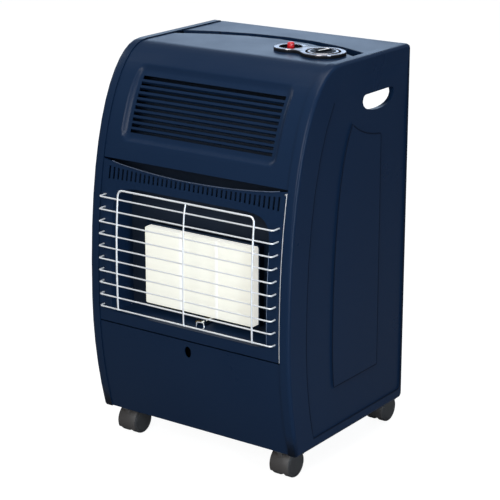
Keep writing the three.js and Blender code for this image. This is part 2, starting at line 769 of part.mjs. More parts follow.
function wireGuard() {
  const bars = [];
  const weld = (wireRadius + loopRadius) * weldSink;
  for (let i = 0; i < guardWires; i += 1) {
    const z = wireHeight(i);
    const front = guardDepth(z) + weld;
    const back = frontAt(z).y + wireBite;
    const corners = [
      new THREE.Vector3(-guardHalfWidth, back, z),
      new THREE.Vector3(-guardHalfWidth, front, z),
      new THREE.Vector3(guardHalfWidth, front, z),
      new THREE.Vector3(guardHalfWidth, back, z),
    ];
    bars.push(bentBar(rounded(corners, wireBend), wireRadius));
  }
  const rise = [0, 0.25, 0.5, 0.75].map((share) => guardLow + share * (loopTop - loopCorner - guardLow));
  const side = rise.map((z) => new THREE.Vector3(-loopHalfWidth, guardDepth(z), z));
  const corner = [0, 0.25, 0.5, 0.75, 1].map((share) => {
    const a = (share * Math.PI) / 2;
    const z = loopTop - loopCorner + loopCorner * Math.sin(a);
    const x = -loopHalfWidth + loopCorner * (1 - Math.cos(a));
    return new THREE.Vector3(x, guardDepth(z), z);
  });
  const left = [...side, ...corner];
  const right = left.map((point) => new THREE.Vector3(-point.x, point.y, point.z)).reverse();
  bars.push(bentBar([...left, ...right], loopRadius));
  const knee = wireHeight(guardWires - 1);
  const tuck = weldSink * (wireRadius + loopRadius); // the middle bar ends behind the loop's top
  const middle = [...rise.slice(0, 3), knee].map((z) => new THREE.Vector3(0, guardDepth(z), z));
  middle.push(new THREE.Vector3(0, guardDepth(loopTop) + tuck, loopTop - 2));
  bars.push(bentBar(middle, wireRadius));
  return join(bars);
}
piece('guard_grille', wireGuard(), chrome);

// ---------------------------------------------------------------- bulkhead and heat deflector
const inside = halfWidth - sideWall - fit; // half width between the side panels' walls
const floorLow = sideWall + fit;
const floorTop = floorLow + baseSheet;
const bulkheadFront = -bayDepth - bulkheadSheet;

function bulkhead() {
  const low = floorTop + fit;
  const wall = box(-inside, inside, bulkheadFront, -bayDepth, low, bulkheadTop);
  const flange = box(-inside, inside, bulkheadFront, -bayDepth + bulkheadFlange, low, low + bulkheadSheet);
  const hole = bar(
    [inletX, bulkheadFront - past, inletHeight],
    [inletX, -bayDepth + past, inletHeight],
    throatRadius + 1,
  );
  return wall.add(flange).subtract(hole);
}
piece('bulkhead', bulkhead(), navyInner);

/** The sheet that turns the hot air forwards to the louvres and shields the top. */
function heatDeflector() {
  const lap = new THREE.Vector2(-bayDepth, bulkheadTop - 20);
  const knee = new THREE.Vector2(-bayDepth, bulkheadTop + 20);
  const head = new THREE.Vector2(-topDepth - 8, bodyHeight - 26);
  const line = [lap, knee, head];
  const shape = new THREE.Shape();
  const shift = bulkheadSheet;
  shape.moveTo(line[0].x + fit, line[0].y);
  shape.lineTo(line[0].x + fit + shift, line[0].y);
  shape.lineTo(line[1].x + fit + shift, line[1].y);
  shape.lineTo(line[2].x + shift, line[2].y);
  shape.lineTo(line[2].x, line[2].y);
  shape.lineTo(line[1].x + fit, line[1].y + 1);
  return alongX(shape, -inside, inside);
}
piece('heat_deflector', heatDeflector(), blackSheet);

// ---------------------------------------------------------------- burner
const burnerHigh = burnerLow + burnerHeight;
const plaqueBack = -burnerFront + plaqueDepth;

function burnerHousing() {
  const half = burnerWidth / 2;
  const back = bulkheadFront - fit;
  const front = plaqueBack + 1;
  const outer = roundedRect(-half, half, burnerLow, burnerHigh, 5);
  const hollow = roundedRect(
    housingWall - half,
    half - housingWall,
    burnerLow + housingWall,
    burnerHigh - housingWall,
    2.5,
  );
  const inside = alongFront(hollow, back - housingWall, front - past);
  const shell = alongFront(outer, back, front).subtract(inside);
  const end = back + throatLength;
  const throat = dowel(inletX, inletHeight, back - housingWall / 2, end, throatRadius);
  const bore = dowel(inletX, inletHeight, back - 2 * housingWall, end + past, throatRadius - 1.5);
  return shell.add(throat).subtract(bore);
}
piece('burner_housing', burnerHousing(), steel);

/** One of the ceramic plaques side by side. */
function plaque(i) {
  const inner = burnerWidth - 2 * housingWall - 2 * fit;
  const pitch = inner / plaqueCount;
  const x0 = -inner / 2 + i * pitch + fit / 2;
  const x1 = x0 + pitch - fit;
  const edge = housingWall + fit;
  const outline = roundedRect(x0, x1, burnerLow + edge, burnerHigh - edge, 2.5);
  return alongFront(outline, plaqueBack + 4, -burnerFront);
}
const plaqueNames = ['ceramic_plaque_left', 'ceramic_plaque_centre', 'ceramic_plaque_right'];
plaqueNames.forEach((name, i) => piece(name, plaque(i), ceramic));

function burnerFrame() {
  const half = burnerWidth / 2;
  const y0 = plaqueBack + 0.5;
  const rim = frameLip;
  const outer = roundedRect(-half - rim, half + rim, burnerLow - rim, burnerHigh + rim, 6);
  const inner = roundedRect(-half - fit, half + fit, burnerLow - fit, burnerHigh + fit, 5);
  const ring = alongFront(outer, bulkheadFront - fit, y0 - 2).subtract(alongFront(inner, 0, y0 - 8));
  const rimShape = roundedRect(-half - 14, half + 14, burnerLow - 6, burnerHigh + 6, 3);
  const flange = alongFront(rimShape, bulkheadFront - fit, bulkheadFront - fit - 1.5);
  return ring.add(flange.subtract(alongFront(inner, 0, y0 - 8)));
}
piece('burner_frame', burnerFrame(), steel);

/** The injector block behind the burner's throat, on the feed pipe's end. */
function injector() {
  const y0 = bulkheadFront + throatLength;
  const half = injectorSize / 2;
  const y1 = y0 + injectorSize;
  const body = box(inletX - half, inletX + half, y0, y1, inletHeight - half, inletHeight + half);
  const jet = dowel(inletX, inletHeight, y0 + past, y0 - 8, throatRadius - 2.5, 12);
  const well = bar(
    [inletX, y0 + half, inletHeight + past],
    [inletX, y0 + half, inletHeight + 2 * half],
    pipeRadius + fit,
    12,
  );
  return body.add(jet).subtract(well);
}
piece('injector', injector(), brass);

// ---------------------------------------------------------------- pilot
const pilotX = 6;
const pilotFront = -340;

function pilotBracket() {
  const back = bulkheadFront - fit;
  const stem = box(pilotX - 9, pilotX + 9, pilotFront + 8, back, mouthLow + 0.5, mouthLow + 2);
  const rise = box(pilotX - 9, pilotX + 9, pilotFront + 6.5, pilotFront + 8, mouthLow + 0.5, mouthLow + 13);
  const holes = [-5, 0, 5].map((x) => dowel(pilotX + x, mouthLow + 7, pilotFront, back, 1.7, 10));
  return join([stem, rise]).subtract(join(holes));
}
piece('pilot_bracket', pilotBracket(), steel);

/** A straight rod through the pilot bracket at an x offset. */
function pilotRod(dx, radius, reach) {
  const z = mouthLow + 7;
  return bar([pilotX + dx, pilotFront + 6.5 - reach, z], [pilotX + dx, bulkheadFront - fit, z], radius, 10);
}
piece('pilot_burner', pilotRod(0, 1.4, 7), brass);
piece('thermocouple', pilotRod(-5, 1.2, 9), brass);
piece('spark_electrode', pilotRod(5, 1.3, 6), ceramic);

// ---------------------------------------------------------------- base tray and rear cover
const lipY = -6; // front face of the rear lip is one sheet further in
const lipSheet = 2;

function baseTray() {
  const front = -footDepth + panelSheet + panelReturn + 1;
  const rear = -rearCorner - fit;
  let tray = box(-inside, inside, front, rear, floorLow, floorTop);
  tray = tray.add(box(-panelX, panelX, rear - past, lipY, floorLow, floorTop));
  tray = tray.add(box(-panelX, panelX, lipY - lipSheet, lipY, floorLow, floorTop + baseLip));
  const lapX = panelX - panelSheet - 2;
  tray = tray.add(box(-lapX, lapX, -footDepth + 6, front + past, floorLow, floorTop));
  for (const y of [-110, -150, -190, -230]) {
    tray = tray.add(box(-120, 120, y - 5, y + 5, floorTop - past, floorTop + 2));
  }
  for (const [x, y] of casterPlaces()) {
    const hole = stemRadius + stemClearance + socketWall + fit;
    tray = tray.subtract(post(x, y, 0, floorTop + past, hole, 20));
  }
  return tray;
}

/** Swivel axes of the four casters. */
function casterPlaces() {
  const places = [];
  for (const depth of [frontCasterDepth, rearCasterDepth]) {
    for (const side of [-1, 1]) places.push([side * casterX, -depth]);
  }
  return places;
}
piece('base_tray', baseTray(), zinc);

function rearCover() {
  const x = panelX;
  const skin = -fit;
  const low = sideWall + 2;
  let cover = box(-x, x, skin - panelSheet, skin, low, rearCoverTop);
  const inner = skin - rearCoverReturn;
  cover = cover.add(box(-x, x, inner, skin, rearCoverTop - panelSheet, rearCoverTop));
  for (const side of [-1, 1]) {
    const from = side * x;
    const to = side * (x - panelSheet);
    cover = cover.add(box(from, to, inner, skin, floorTop + baseLip + 4, rearCoverTop));
  }
  const webLow = floorTop + baseLip + fit;
  const webTop = webLow + panelSheet;
  const hookFront = lipY - lipSheet - fit - panelSheet;
  cover = cover.add(box(-x + 20, x - 20, hookFront, skin, webLow, webTop));
  cover = cover.add(box(-x + 20, x - 20, hookFront, hookFront + panelSheet, webLow - 12, webTop));
  const rows = rearVentRows;
  for (let i = 0; i < rows; i += 1) {
    for (const [group, base] of [[-1, 70], [1, 70], [-1, 340], [1, 340]]) {
      const z = base + i * 14;
      const centre = group * 92;
      cover = cover.subtract(box(centre - 62, centre + 62, skin - 2 * panelSheet, past, z, z + 6));
    }
  }
  return cover;
}
piece('rear_cover', rearCover(), navy);

// ---------------------------------------------------------------- controls
/** Two overlapping discs, the outline of the control bezel, less a margin. */
function figureEight(z0, z1, margin, bevel = 0) {
  const discs = [
    [knobX, knobFromRear, knobRingOuter - margin],
    [buttonX, buttonFromRear, buttonRingOuter - margin],
  ];
  const lathes = discs.map(([x, fromRear, r]) => {
    const edge = [[r, z1 - bevel], [r - 0.4 * bevel, z1 - 0.3 * bevel], [r - bevel, z1]];
    const pairs = [[0, z0], [r, z0], ...edge, [0, z1]];
    return turned(pairs, 28, x, -fromRear);
  });
  return join(lathes);
}

const fasciaLow = bodyHeight + fit;
const fasciaTop = fasciaLow + fasciaSheet;
const trimTop = bodyHeight + bezelHeight;
const bezelTop = trimTop - trimSheet - fit;
const wellOuter = knobRingInner + wellWall;

/** The bezel's two round openings, for a radius round the knob and one round the button. */
function bezelOpenings(knobHole, buttonHole) {
  const places = [
    [knobX, knobFromRear, knobHole],
    [buttonX, buttonFromRear, buttonHole],
  ];
  const low = bodyHeight - past;
  return join(places.map(([x, fromRear, r]) => post(x, -fromRear, low, trimTop + past, r, 28)));
}
const bezel = figureEight(fasciaLow, bezelTop, 0);
const bezelHoles = bezelOpenings(wellOuter + wellFlange + fit, buttonRingInner);
piece('control_bezel', bezel.subtract(bezelHoles), blackPlastic);
const trim = figureEight(bezelTop + fit, trimTop, trimInset, bezelRound);
piece('bezel_trim', trim.subtract(bezelOpenings(knobRingInner, buttonRingInner)), chrome);

/** The round well that the knob sits in, hung in the panel by its flange. */
function dialPlate() {
  const floor = bodyHeight - wellDepth;
  const outline = [
    [spindleRadius + 1.5, floor],
    [wellOuter, floor],
    [wellOuter, fasciaLow],
    [wellOuter + wellFlange, fasciaLow],
    [wellOuter + wellFlange, fasciaTop],
    [wellOuter, fasciaTop],
    [wellOuter, bezelTop],
    [knobRingInner, bezelTop],
    [knobRingInner, floor + fasciaSheet],
    [spindleRadius + 1.5, floor + fasciaSheet],
    [spindleRadius + 1.5, floor],
  ];
  return turned(outline, 28, knobX, -knobFromRear);
}
piece('knob_dial_plate', dialPlate(), blackPlastic);

/** The flat round plate under the button. */
function buttonPlate() {
  const disc = post(buttonX, -buttonFromRear, fasciaLow, fasciaTop, buttonRingInner - fit, 28);
  return disc.subtract(post(buttonX, -buttonFromRear, 0, 2 * bodyHeight, buttonRadius + fit, 20));
}
piece('button_plate', buttonPlate(), blackPlastic);

const knobBase = bodyHeight - wellDepth + fasciaSheet + pressTravel + 0.6;
const knobTop = trimTop + knobProud;
const spindleTop = knobTop - 3;
const tapTop = bodyHeight - wellDepth - fit;
const sheetUnder = bodyHeight - panelSheet - fit;

/** The tap under the top panel, with its gas inlet and outlet bosses. */
function gasTap() {
  const low = tapTop - tapHeight;
  const half = tapSize / 2;
  const y = -knobFromRear;
  let tap = box(knobX - half, knobX + half, y - half, y + half, low, tapTop);
  tap = tap.add(bar([knobX, y, low - 12], [knobX, y, low + 1], 9, 16));
  tap = tap.add(bar([knobX, y + half - 1, low + 12], [knobX, y + half + 9, low + 12], 7, 16));
  tap = tap.add(bar([knobX + half - 1, y, low + 12], [knobX + half + 5, y, low + 12], 7, 16));
  tap = tap.subtract(post(knobX, y, low - 6, bodyHeight, spindleRadius + fit, 20));
  tap = tap.subtract(dowel(knobX, low + 12, y + half - 2, y + half + 10, 4 + fit));
  const inlet = [knobX + half, y, low + 12];
  return tap.subtract(bar([inlet[0] - 2, y, inlet[2]], [inlet[0] + 6, y, inlet[2]], pipeRadius + fit));
}
piece('gas_tap', gasTap(), brass);

const tapLow = tapTop - tapHeight;
const spindleFoot = tapLow + 14;

/** A round spindle with a flat for the knob, turning in the tap. */
function tapSpindle() {
  const shaft = post(knobX, -knobFromRear, spindleFoot, spindleTop, spindleRadius, 20);
  const flat = box(
    knobX - 2 * spindleRadius,
    knobX + 2 * spindleRadius,
    -knobFromRear + spindleRadius - 1,
    -knobFromRear + 2 * spindleRadius,
    knobBase - 2,
    spindleTop + past,
  );
  return shaft.subtract(flat);
}
piece('tap_spindle', tapSpindle(), steel);
const rodTop = spindleFoot - fit;
piece('push_rod', post(knobX, -knobFromRear, tapLow + 1, rodTop, spindleRadius - 0.4), steel);

/** The black knob: a dished face with a raised pointer. */
function controlKnob() {
  const r = knobRadius;
  const z = knobBase;
  const dish = knobTop - 1.2;
  const rim = [[r, knobTop - 1], [r - 1, knobTop], [r - 4, knobTop], [r - 6, dish]];
  const grip = turned([[0, z], [r, z], ...rim, [0, dish]], 28, knobX, -knobFromRear);
  const ridge = box(-3, 3, -r + 9, r - 7, -2, 2.2)
    .rotate([0, 0, knobAngle])
    .translate([knobX, -knobFromRear, knobTop]);
  const round = post(knobX, -knobFromRear, z - past, spindleTop + fit, spindleRadius + 0.2, 20);
  const key = box(
    knobX - 2 * spindleRadius,
    knobX + 2 * spindleRadius,
    -knobFromRear + spindleRadius - 1 + 0.2,
    -knobFromRear + 2 * spindleRadius,
    z - 2 * past,
    spindleTop + 2 * past,
  );
  return grip.add(ridge).subtract(round.subtract(key));
}
piece('control_knob', controlKnob(), blackPlastic);

/** The bright ring round the knob. */
function knobRing() {
  const bore = knobRadius + fit;
  const low = knobTop - 3;
  const outline = [[bore, low], [knobSkirt, low], [knobSkirt, knobTop - 0.8], [knobSkirt - 0.8, knobTop]];
  return turned([...outline, [bore, knobTop], [bore, low]], 28, knobX, -knobFromRear);
}
piece('knob_ring', knobRing(), chrome);

function igniterButton() {
  const low = sheetUnder - 8;
  const top = fasciaTop + buttonHeight;
  const r = buttonRadius;
  return turned(
    [[0, low], [r, low], [r, top - 2], [r - 0.8, top - 0.5], [r - 2.4, top], [0, top]],
    20,
    buttonX,
    -buttonFromRear,
  );
}
piece('igniter_button', igniterButton(), redPlastic);

/** The piezo generator under the button, a cup that guides it. */
function piezoIgniter() {
  const x = buttonX;
  const y = -buttonFromRear;
  const cup = bar([x, y, sheetUnder - piezoHeight], [x, y, sheetUnder], piezoRadius, 24);
  const flange = bar([x, y, sheetUnder - 3], [x, y, sheetUnder], piezoRadius + 4, 24);
  const well = bar([x, y, sheetUnder - 8 - buttonTravel - 1], [x, y, bodyHeight], buttonRadius + fit, 24);
  return cup.add(flange).subtract(well);
}
piece('piezo_igniter', piezoIgniter(), blackPlastic);

/** The barbed nozzle that a gas hose pushes onto. */
function hoseNozzle() {
  const y0 = -knobFromRear + tapSize / 2 - 2 + fit;
  const z = tapLow + 12;
  const barbs = [0, 7, 14].flatMap((s) => [[5.2, 14 + s], [4.2, 20 + s]]);
  const outline = [[2.4, 0], [4, 0], [4, 11 - fit], [7, 11], [7, 14], ...barbs, [2.4, 34], [2.4, 0]];
  return turned(outline, 12).rotate([-90, 0, 0]).translate([knobX, y0, z]);
}
piece('hose_nozzle', hoseNozzle(), brass);

function feedPipe() {
  const z = tapLow + 12;
  const endY = bulkheadFront + throatLength + injectorSize / 2;
  const fall = z - inletHeight - 70;
  const corners = [
    new THREE.Vector3(knobX + tapSize / 2 - 1, -knobFromRear, z),
    new THREE.Vector3(pipeX, -knobFromRear, z),
    new THREE.Vector3(pipeX, -knobFromRear - 60, z - 0.35 * fall),
    new THREE.Vector3(pipeX, endY, z - 0.7 * fall),
    new THREE.Vector3(inletX, endY, z - fall),
    new THREE.Vector3(inletX, endY, inletHeight + 2),
  ];
  return bentBar(rounded(corners, 14), pipeRadius, 8);
}
piece('burner_feed_pipe', feedPipe(), brass);

// ---------------------------------------------------------------- casters
const axleZ = -groundDrop + wheelRadius * Math.cos(Math.PI / wheelFacets);
const hoodOuter = wheelRadius + hoodGap + hoodSheet;
const hoodTop = axleZ + hoodOuter;
const wheelIn = casterWeb / 2 + 0.5;
const wheelOut = wheelIn + wheelWidth;

/** A sector of a disc in (y, z) around the axle, from one angle to another. */
function sector(y, outer, inner, from, to) {
  const shape = new THREE.Shape();
  const a0 = THREE.MathUtils.degToRad(from);
  const a1 = THREE.MathUtils.degToRad(to);
  shape.absarc(y, axleZ, outer, a0, a1, false);
  shape.absarc(y, axleZ, inner, a1, a0, true);
  return shape;
}

function caster(name, x, y) {
  const axleY = y + casterTrail;
  const sleeve = stemRadius + stemClearance + socketWall;
  const bore = stemRadius + stemClearance;
  const flangeLow = hoodTop + fit;
  const socketTop = stemLength + 2;
  const socket = turned(
    [
      [bore, flangeLow],
      [sleeve + 5, flangeLow],
      [sleeve + 5, floorLow - fit],
      [sleeve, floorLow - fit],
      [sleeve, socketTop],
      [0, socketTop],
      [0, stemLength + 0.5],
      [bore, stemLength + 0.5],
      [bore, flangeLow],
    ],
    16,
    x,
    y,
  );
  piece(`${name}_socket`, socket, zinc);

  const hoodHalf = wheelOut;
  const facets = { curveSegments: hoodFacets };
  const shellShape = sector(axleY, hoodOuter, hoodOuter - hoodSheet, 25, 205);
  const shell = alongX(shellShape, x - hoodHalf, x + hoodHalf, facets);
  const webShape = sector(axleY, hoodOuter - 0.5, 0.01, 5, 205);
  const web = alongX(webShape, x - casterWeb / 2, x + casterWeb / 2, facets);
  const axleHole = bar([x - casterWeb, axleY, axleZ], [x + casterWeb, axleY, axleZ], axleRadius + fit);
  const bossEnds = [-0.5, 0.5].map((side) => [x + side * casterWeb, axleY, axleZ]);
  const boss = bar(bossEnds[0], bossEnds[1], axleRadius + 4, 20);
  const stem = bar([x, y, axleZ], [x, y, stemLength], stemRadius, 20);
  piece(`${name}_hood`, join([shell, web, boss, stem]).subtract(axleHole), casterGrey);

  const axleEnd = wheelOut - 1.5;
  const ends = [-1, 1].map((side) => [x + side * axleEnd, axleY, axleZ]);
  piece(`${name}_axle`, bar(ends[0], ends[1], axleRadius, 16), steel);

  const r = wheelRadius;
  const side = [
    [axleRadius + fit, wheelIn],
    [r, wheelIn],
    [r, wheelOut - wheelRound],
    [r - 0.3 * wheelRound, wheelOut - 0.3 * wheelRound],
    [r - wheelRound, wheelOut],
    [0, wheelOut - 0.3],
    [0, axleEnd + fit],
    [axleRadius + fit, axleEnd + fit],
    [axleRadius + fit, wheelIn],
  ];
  const flatDown = 180 / wheelFacets;
  const wheel = turned(side, wheelFacets).rotate([0, 0, flatDown]).rotate([0, 90, 0]);
  piece(`${name}_wheel_right`, wheel.translate([x, axleY, axleZ]), wheelGrey);
  piece(`${name}_wheel_left`, wheel.mirror([1, 0, 0]).translate([x, axleY, axleZ]), wheelGrey);
}
const casterNames = ['front_left_caster', 'front_right_caster', 'rear_left_caster', 'rear_right_caster'];
casterPlaces().forEach(([x, y], i) => caster(casterNames[i], x, y));

// ---------------------------------------------------------------- set down on the floor
const extent = new THREE.Box3().setFromObject(cabinet);
cabinet.position.set(0, -(extent.min.y + extent.max.y) / 2, -extent.min.z);

export default heater;
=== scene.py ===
"""Looks, light and camera for a portable gas cabinet heater on twin-wheel casters."""

from __future__ import annotations

import json
import logging
import math
from collections.abc import Sequence
from dataclasses import dataclass
from enum import Enum

import bmesh
import bpy
from mathutils import Matrix, Vector, kdtree

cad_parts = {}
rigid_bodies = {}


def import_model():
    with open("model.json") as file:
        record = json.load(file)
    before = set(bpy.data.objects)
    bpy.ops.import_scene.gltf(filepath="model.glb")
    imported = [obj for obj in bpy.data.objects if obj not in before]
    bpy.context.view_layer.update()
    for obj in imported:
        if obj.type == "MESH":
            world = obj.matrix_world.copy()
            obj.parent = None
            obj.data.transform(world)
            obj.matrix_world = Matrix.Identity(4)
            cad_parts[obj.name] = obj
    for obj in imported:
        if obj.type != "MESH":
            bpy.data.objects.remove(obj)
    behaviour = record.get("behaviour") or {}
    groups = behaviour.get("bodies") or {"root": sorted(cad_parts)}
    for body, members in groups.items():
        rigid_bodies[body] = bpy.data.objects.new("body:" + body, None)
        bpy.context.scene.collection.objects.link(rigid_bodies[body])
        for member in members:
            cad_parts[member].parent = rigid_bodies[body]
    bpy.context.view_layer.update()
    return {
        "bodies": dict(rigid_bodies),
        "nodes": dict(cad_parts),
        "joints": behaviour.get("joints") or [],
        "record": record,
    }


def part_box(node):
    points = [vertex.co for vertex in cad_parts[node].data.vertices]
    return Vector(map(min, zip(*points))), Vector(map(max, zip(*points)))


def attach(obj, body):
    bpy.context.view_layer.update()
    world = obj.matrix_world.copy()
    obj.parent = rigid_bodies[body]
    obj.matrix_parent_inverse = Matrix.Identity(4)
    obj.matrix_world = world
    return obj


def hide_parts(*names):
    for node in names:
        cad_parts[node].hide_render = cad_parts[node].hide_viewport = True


LOG = logging.getLogger("cabinet_heater")
Triple = tuple[float, float, float]
RIGHT = Vector((1.0, 0.0, 0.0))
UP = Vector((0.0, 0.0, 1.0))


class Slot(Enum):
    """The record's material slots."""

    NAVY = "navy_paint"
    ZINC = "zinc_sheet"
    INNER = "inner_paint"
    WIRE = "guard_chrome"
    BEZEL = "bezel_chrome"
    BURNER = "burner_steel"
    CERAMIC = "ceramic"
    BRASS = "brass_fitting"
    BLACK = "control_black"
    RED = "igniter_red"
    PIN = "steel_pin"
    CASTER = "caster_grey"
    WHEEL = "wheel_grey"


class Trim(Enum):
    """Finishes of small extra pieces, which aren't slots of the record."""

    POINTER = "pointer_white"
    SHADE = "navy_in_shade"
    JOINT = "joint_white"
    # painted light: the plaque's side faces glow brighter than its front
    RIM = "plaque_edge_white"
    # painted highlight: bright metal beads along the mouth's and the crescent's edges
    CUT = "bare_cut_edge"


class Corner(Enum):
    """The four casters."""

    FRONT_LEFT = "front_left_caster"
    FRONT_RIGHT = "front_right_caster"
    REAR_LEFT = "rear_left_caster"
    REAR_RIGHT = "rear_right_caster"


# ---------------------------------------------------------------- shader groups
def fill(node: bpy.types.Node, values: dict[str, object]) -> bpy.types.Node:
    """Sets a shader node's inputs.

    Args:
        node: the node.
        values: the inputs' names and values.

    Returns:
        The node.
    """
    for name, value in values.items():
        node.inputs[name].default_value = value
    return node


def put_group(tree: bpy.types.NodeTree, group: bpy.types.NodeTree,
              values: dict[str, object]) -> bpy.types.Node:
    """Puts a shader group into a material with its own values.

    Args:
        tree: the material's nodes.
        group: the group.
        values: its inputs' names and values.

    Returns:
        The group's node.
    """
    made = tree.nodes.new("ShaderNodeGroup")
    made.node_tree = group
    return fill(made, values)


def lift_for_camera(tree: bpy.types.NodeTree, plain: bpy.types.NodeSocket,
                    seen: bpy.types.NodeSocket, surface: bpy.types.NodeSocket) -> None:
    """Shows the camera one shader, and every other ray a plain one.

    Args:
        tree: the nodes of the material or world.
        plain: the shader that lights the object.
        seen: the shader that the camera sees.
        surface: the output's socket.
    """
    paths = tree.nodes.new("ShaderNodeLightPath")
    mix = tree.nodes.new("ShaderNodeMixShader")
    tree.links.new(paths.outputs["Is Camera Ray"], mix.inputs["Fac"])
    tree.links.new(plain, mix.inputs[1])
    tree.links.new(seen, mix.inputs[2])
    tree.links.new(mix.outputs["Shader"], surface)


class GroupMaker:
    """Builds one shader node group with named sockets."""

    def __init__(self, name: str) -> None:
        """Starts an empty group called name."""
        self.tree = bpy.data.node_groups.new(name, "ShaderNodeTree")
        self.source = self.tree.nodes.new("NodeGroupInput")
        self.sink = self.tree.nodes.new("NodeGroupOutput")

    def number_in(self, name: str, value: float) -> bpy.types.NodeSocket:
        """Adds a number input and returns where it comes out inside the group."""
        socket = self.tree.interface.new_socket(name, in_out="INPUT", socket_type="NodeSocketFloat")
        socket.default_value = value
        return self.source.outputs[name]

    def colour_in(self, name: str) -> bpy.types.NodeSocket:
        """Adds a colour input and returns where it comes out inside the group."""
        self.tree.interface.new_socket(name, in_out="INPUT", socket_type="NodeSocketColor")
        return self.source.outputs[name]

    def out(self, name: str, kind: str, value: bpy.types.NodeSocket) -> None:
        """Adds an output of a socket kind and feeds it.

        Args:
            name: the output's name.
            kind: "Float" or "Color".
            value: the socket inside the group that feeds it.
        """
        self.tree.interface.new_socket(name, in_out="OUTPUT", socket_type=f"NodeSocket{kind}")
        self.tree.links.new(value, self.sink.inputs[name])

    def node(self, kind: str, **settings: object) -> bpy.types.Node:
        """Adds a node and sets its properties.

        Args:
            kind: the node's type without the ShaderNode prefix.
            settings: property names and values.

        Returns:
            The new node.
        """
        made = self.tree.nodes.new(f"ShaderNode{kind}")
        for key, value in settings.items():
            setattr(made, key, value)
        return made

    def link(self, source: bpy.types.NodeSocket, target: bpy.types.NodeSocket) -> None:
        """Joins two sockets."""
        self.tree.links.new(source, target)

    def object_noise(self, scale: bpy.types.NodeSocket, detail: float) -> bpy.types.NodeSocket:
        """Noise on object coordinates.

        Args:
            scale: the socket that gives the pattern's scale per metre.
            detail: octaves of the noise.

        Returns:
            The noise's value, around 0.5.
        """
        place = self.node("TexCoord")
        noise = fill(self.node("TexNoise"), {"Detail": detail})
        self.link(place.outputs["Object"], noise.inputs["Vector"])
        self.link(scale, noise.inputs["Scale"])
        return noise.outputs["Fac"]

    def spread(self, value: bpy.types.NodeSocket, low: bpy.types.NodeSocket,
               high: bpy.types.NodeSocket, start: float = 0.3) -> bpy.types.NodeSocket:
        """Maps a value between start and 0.7 to a range given by sockets.

        Args:
            value: the value.
            low: what start becomes.
            high: what 0.7 becomes.
            start: lower end of the value's range.

        Returns:
            The mapped value.
        """
        ramp = fill(self.node("MapRange"), {"From Min": start, "From Max": 0.7})
        self.link(value, ramp.inputs["Value"])
        self.link(low, ramp.inputs["To Min"])
        self.link(high, ramp.inputs["To Max"])
        return ramp.outputs["Result"]


def tone_group() -> bpy.types.NodeTree:
    """Cloudy change of a colour and a roughness: base and worn tones, and a roughness range."""
    made = GroupMaker("cloudy_tone")
    base, worn = made.colour_in("Base"), made.colour_in("Worn")
    scale, amount = made.number_in("Scale", 12.0), made.number_in("Amount", 0.5)
    smooth, rough = made.number_in("Smooth", 0.3), made.number_in("Rough", 0.4)
    cloud = made.object_noise(scale, 4.0)
    zero = made.node("Value").outputs[0]
    share = made.spread(cloud, zero, amount, 0.35)
    mix = made.node("Mix", data_type="RGBA")
    made.link(share, mix.inputs["Factor"])
    made.link(base, mix.inputs["A"])
    made.link(worn, mix.inputs["B"])
    made.out("Color", "Color", mix.outputs["Result"])
    made.out("Roughness", "Float", made.spread(cloud, smooth, rough))
    return made.tree


def grain_group() -> bpy.types.NodeTree:
    """Fine surface relief: close grain over broader waves."""
    made = GroupMaker("surface_relief")
    fine, broad = made.number_in("Fine", 900.0), made.number_in("Broad", 60.0)
    share = made.number_in("Broad share", 0.5)
    close = made.object_noise(fine, 2.0)
    waves = made.object_noise(broad, 1.0)
    mix = made.node("Mix", data_type="FLOAT")
    made.link(share, mix.inputs["Factor"])
    made.link(close, mix.inputs["A"])
    made.link(waves, mix.inputs["B"])
    made.out("Height", "Float", mix.outputs["Result"])
    return made.tree


def brush_group() -> bpy.types.NodeTree:
    """Drawn lines along X for rolled and brushed sheet."""
    made = GroupMaker("drawn_lines")
    pitch = made.number_in("Pitch", 600.0)
    place = made.node("TexCoord")
    stretch = fill(made.node("Mapping"), {"Scale": (0.03, 1.0, 1.0)})
    noise = fill(made.node("TexNoise"), {"Detail": 3.0})
    made.link(place.outputs["Object"], stretch.inputs["Vector"])
    made.link(stretch.outputs["Vector"], noise.inputs["Vector"])
    made.link(pitch, noise.inputs["Scale"])
    made.out("Height", "Float", noise.outputs["Fac"])
    return made.tree


def pore_group() -> bpy.types.NodeTree:
    """The burner plaque's close rows of round ports, as a mask that is 1 in a port."""
    made = GroupMaker("plaque_ports")
    pitch = made.number_in("Ports per metre", 400.0)
    place = made.node("TexCoord")
    cells = fill(made.node("TexVoronoi", feature="F1"), {"Randomness": 0.0})
    made.link(place.outputs["Object"], cells.inputs["Vector"])
    made.link(pitch, cells.inputs["Scale"])
    edge = fill(made.node("MapRange"),
                {"From Min": 0.22, "From Max": 0.34, "To Min": 1.0, "To Max": 0.0})
    made.link(cells.outputs["Distance"], edge.inputs["Value"])
    made.out("Port", "Float", edge.outputs["Result"])
    return made.tree


class Effects:
    """The shader groups that the finishes share, each built once."""

    def __init__(self) -> None:
        """Builds the groups."""
        self.tone = tone_group()
        self.relief = grain_group()
        self.brush = brush_group()
        self.ports = pore_group()


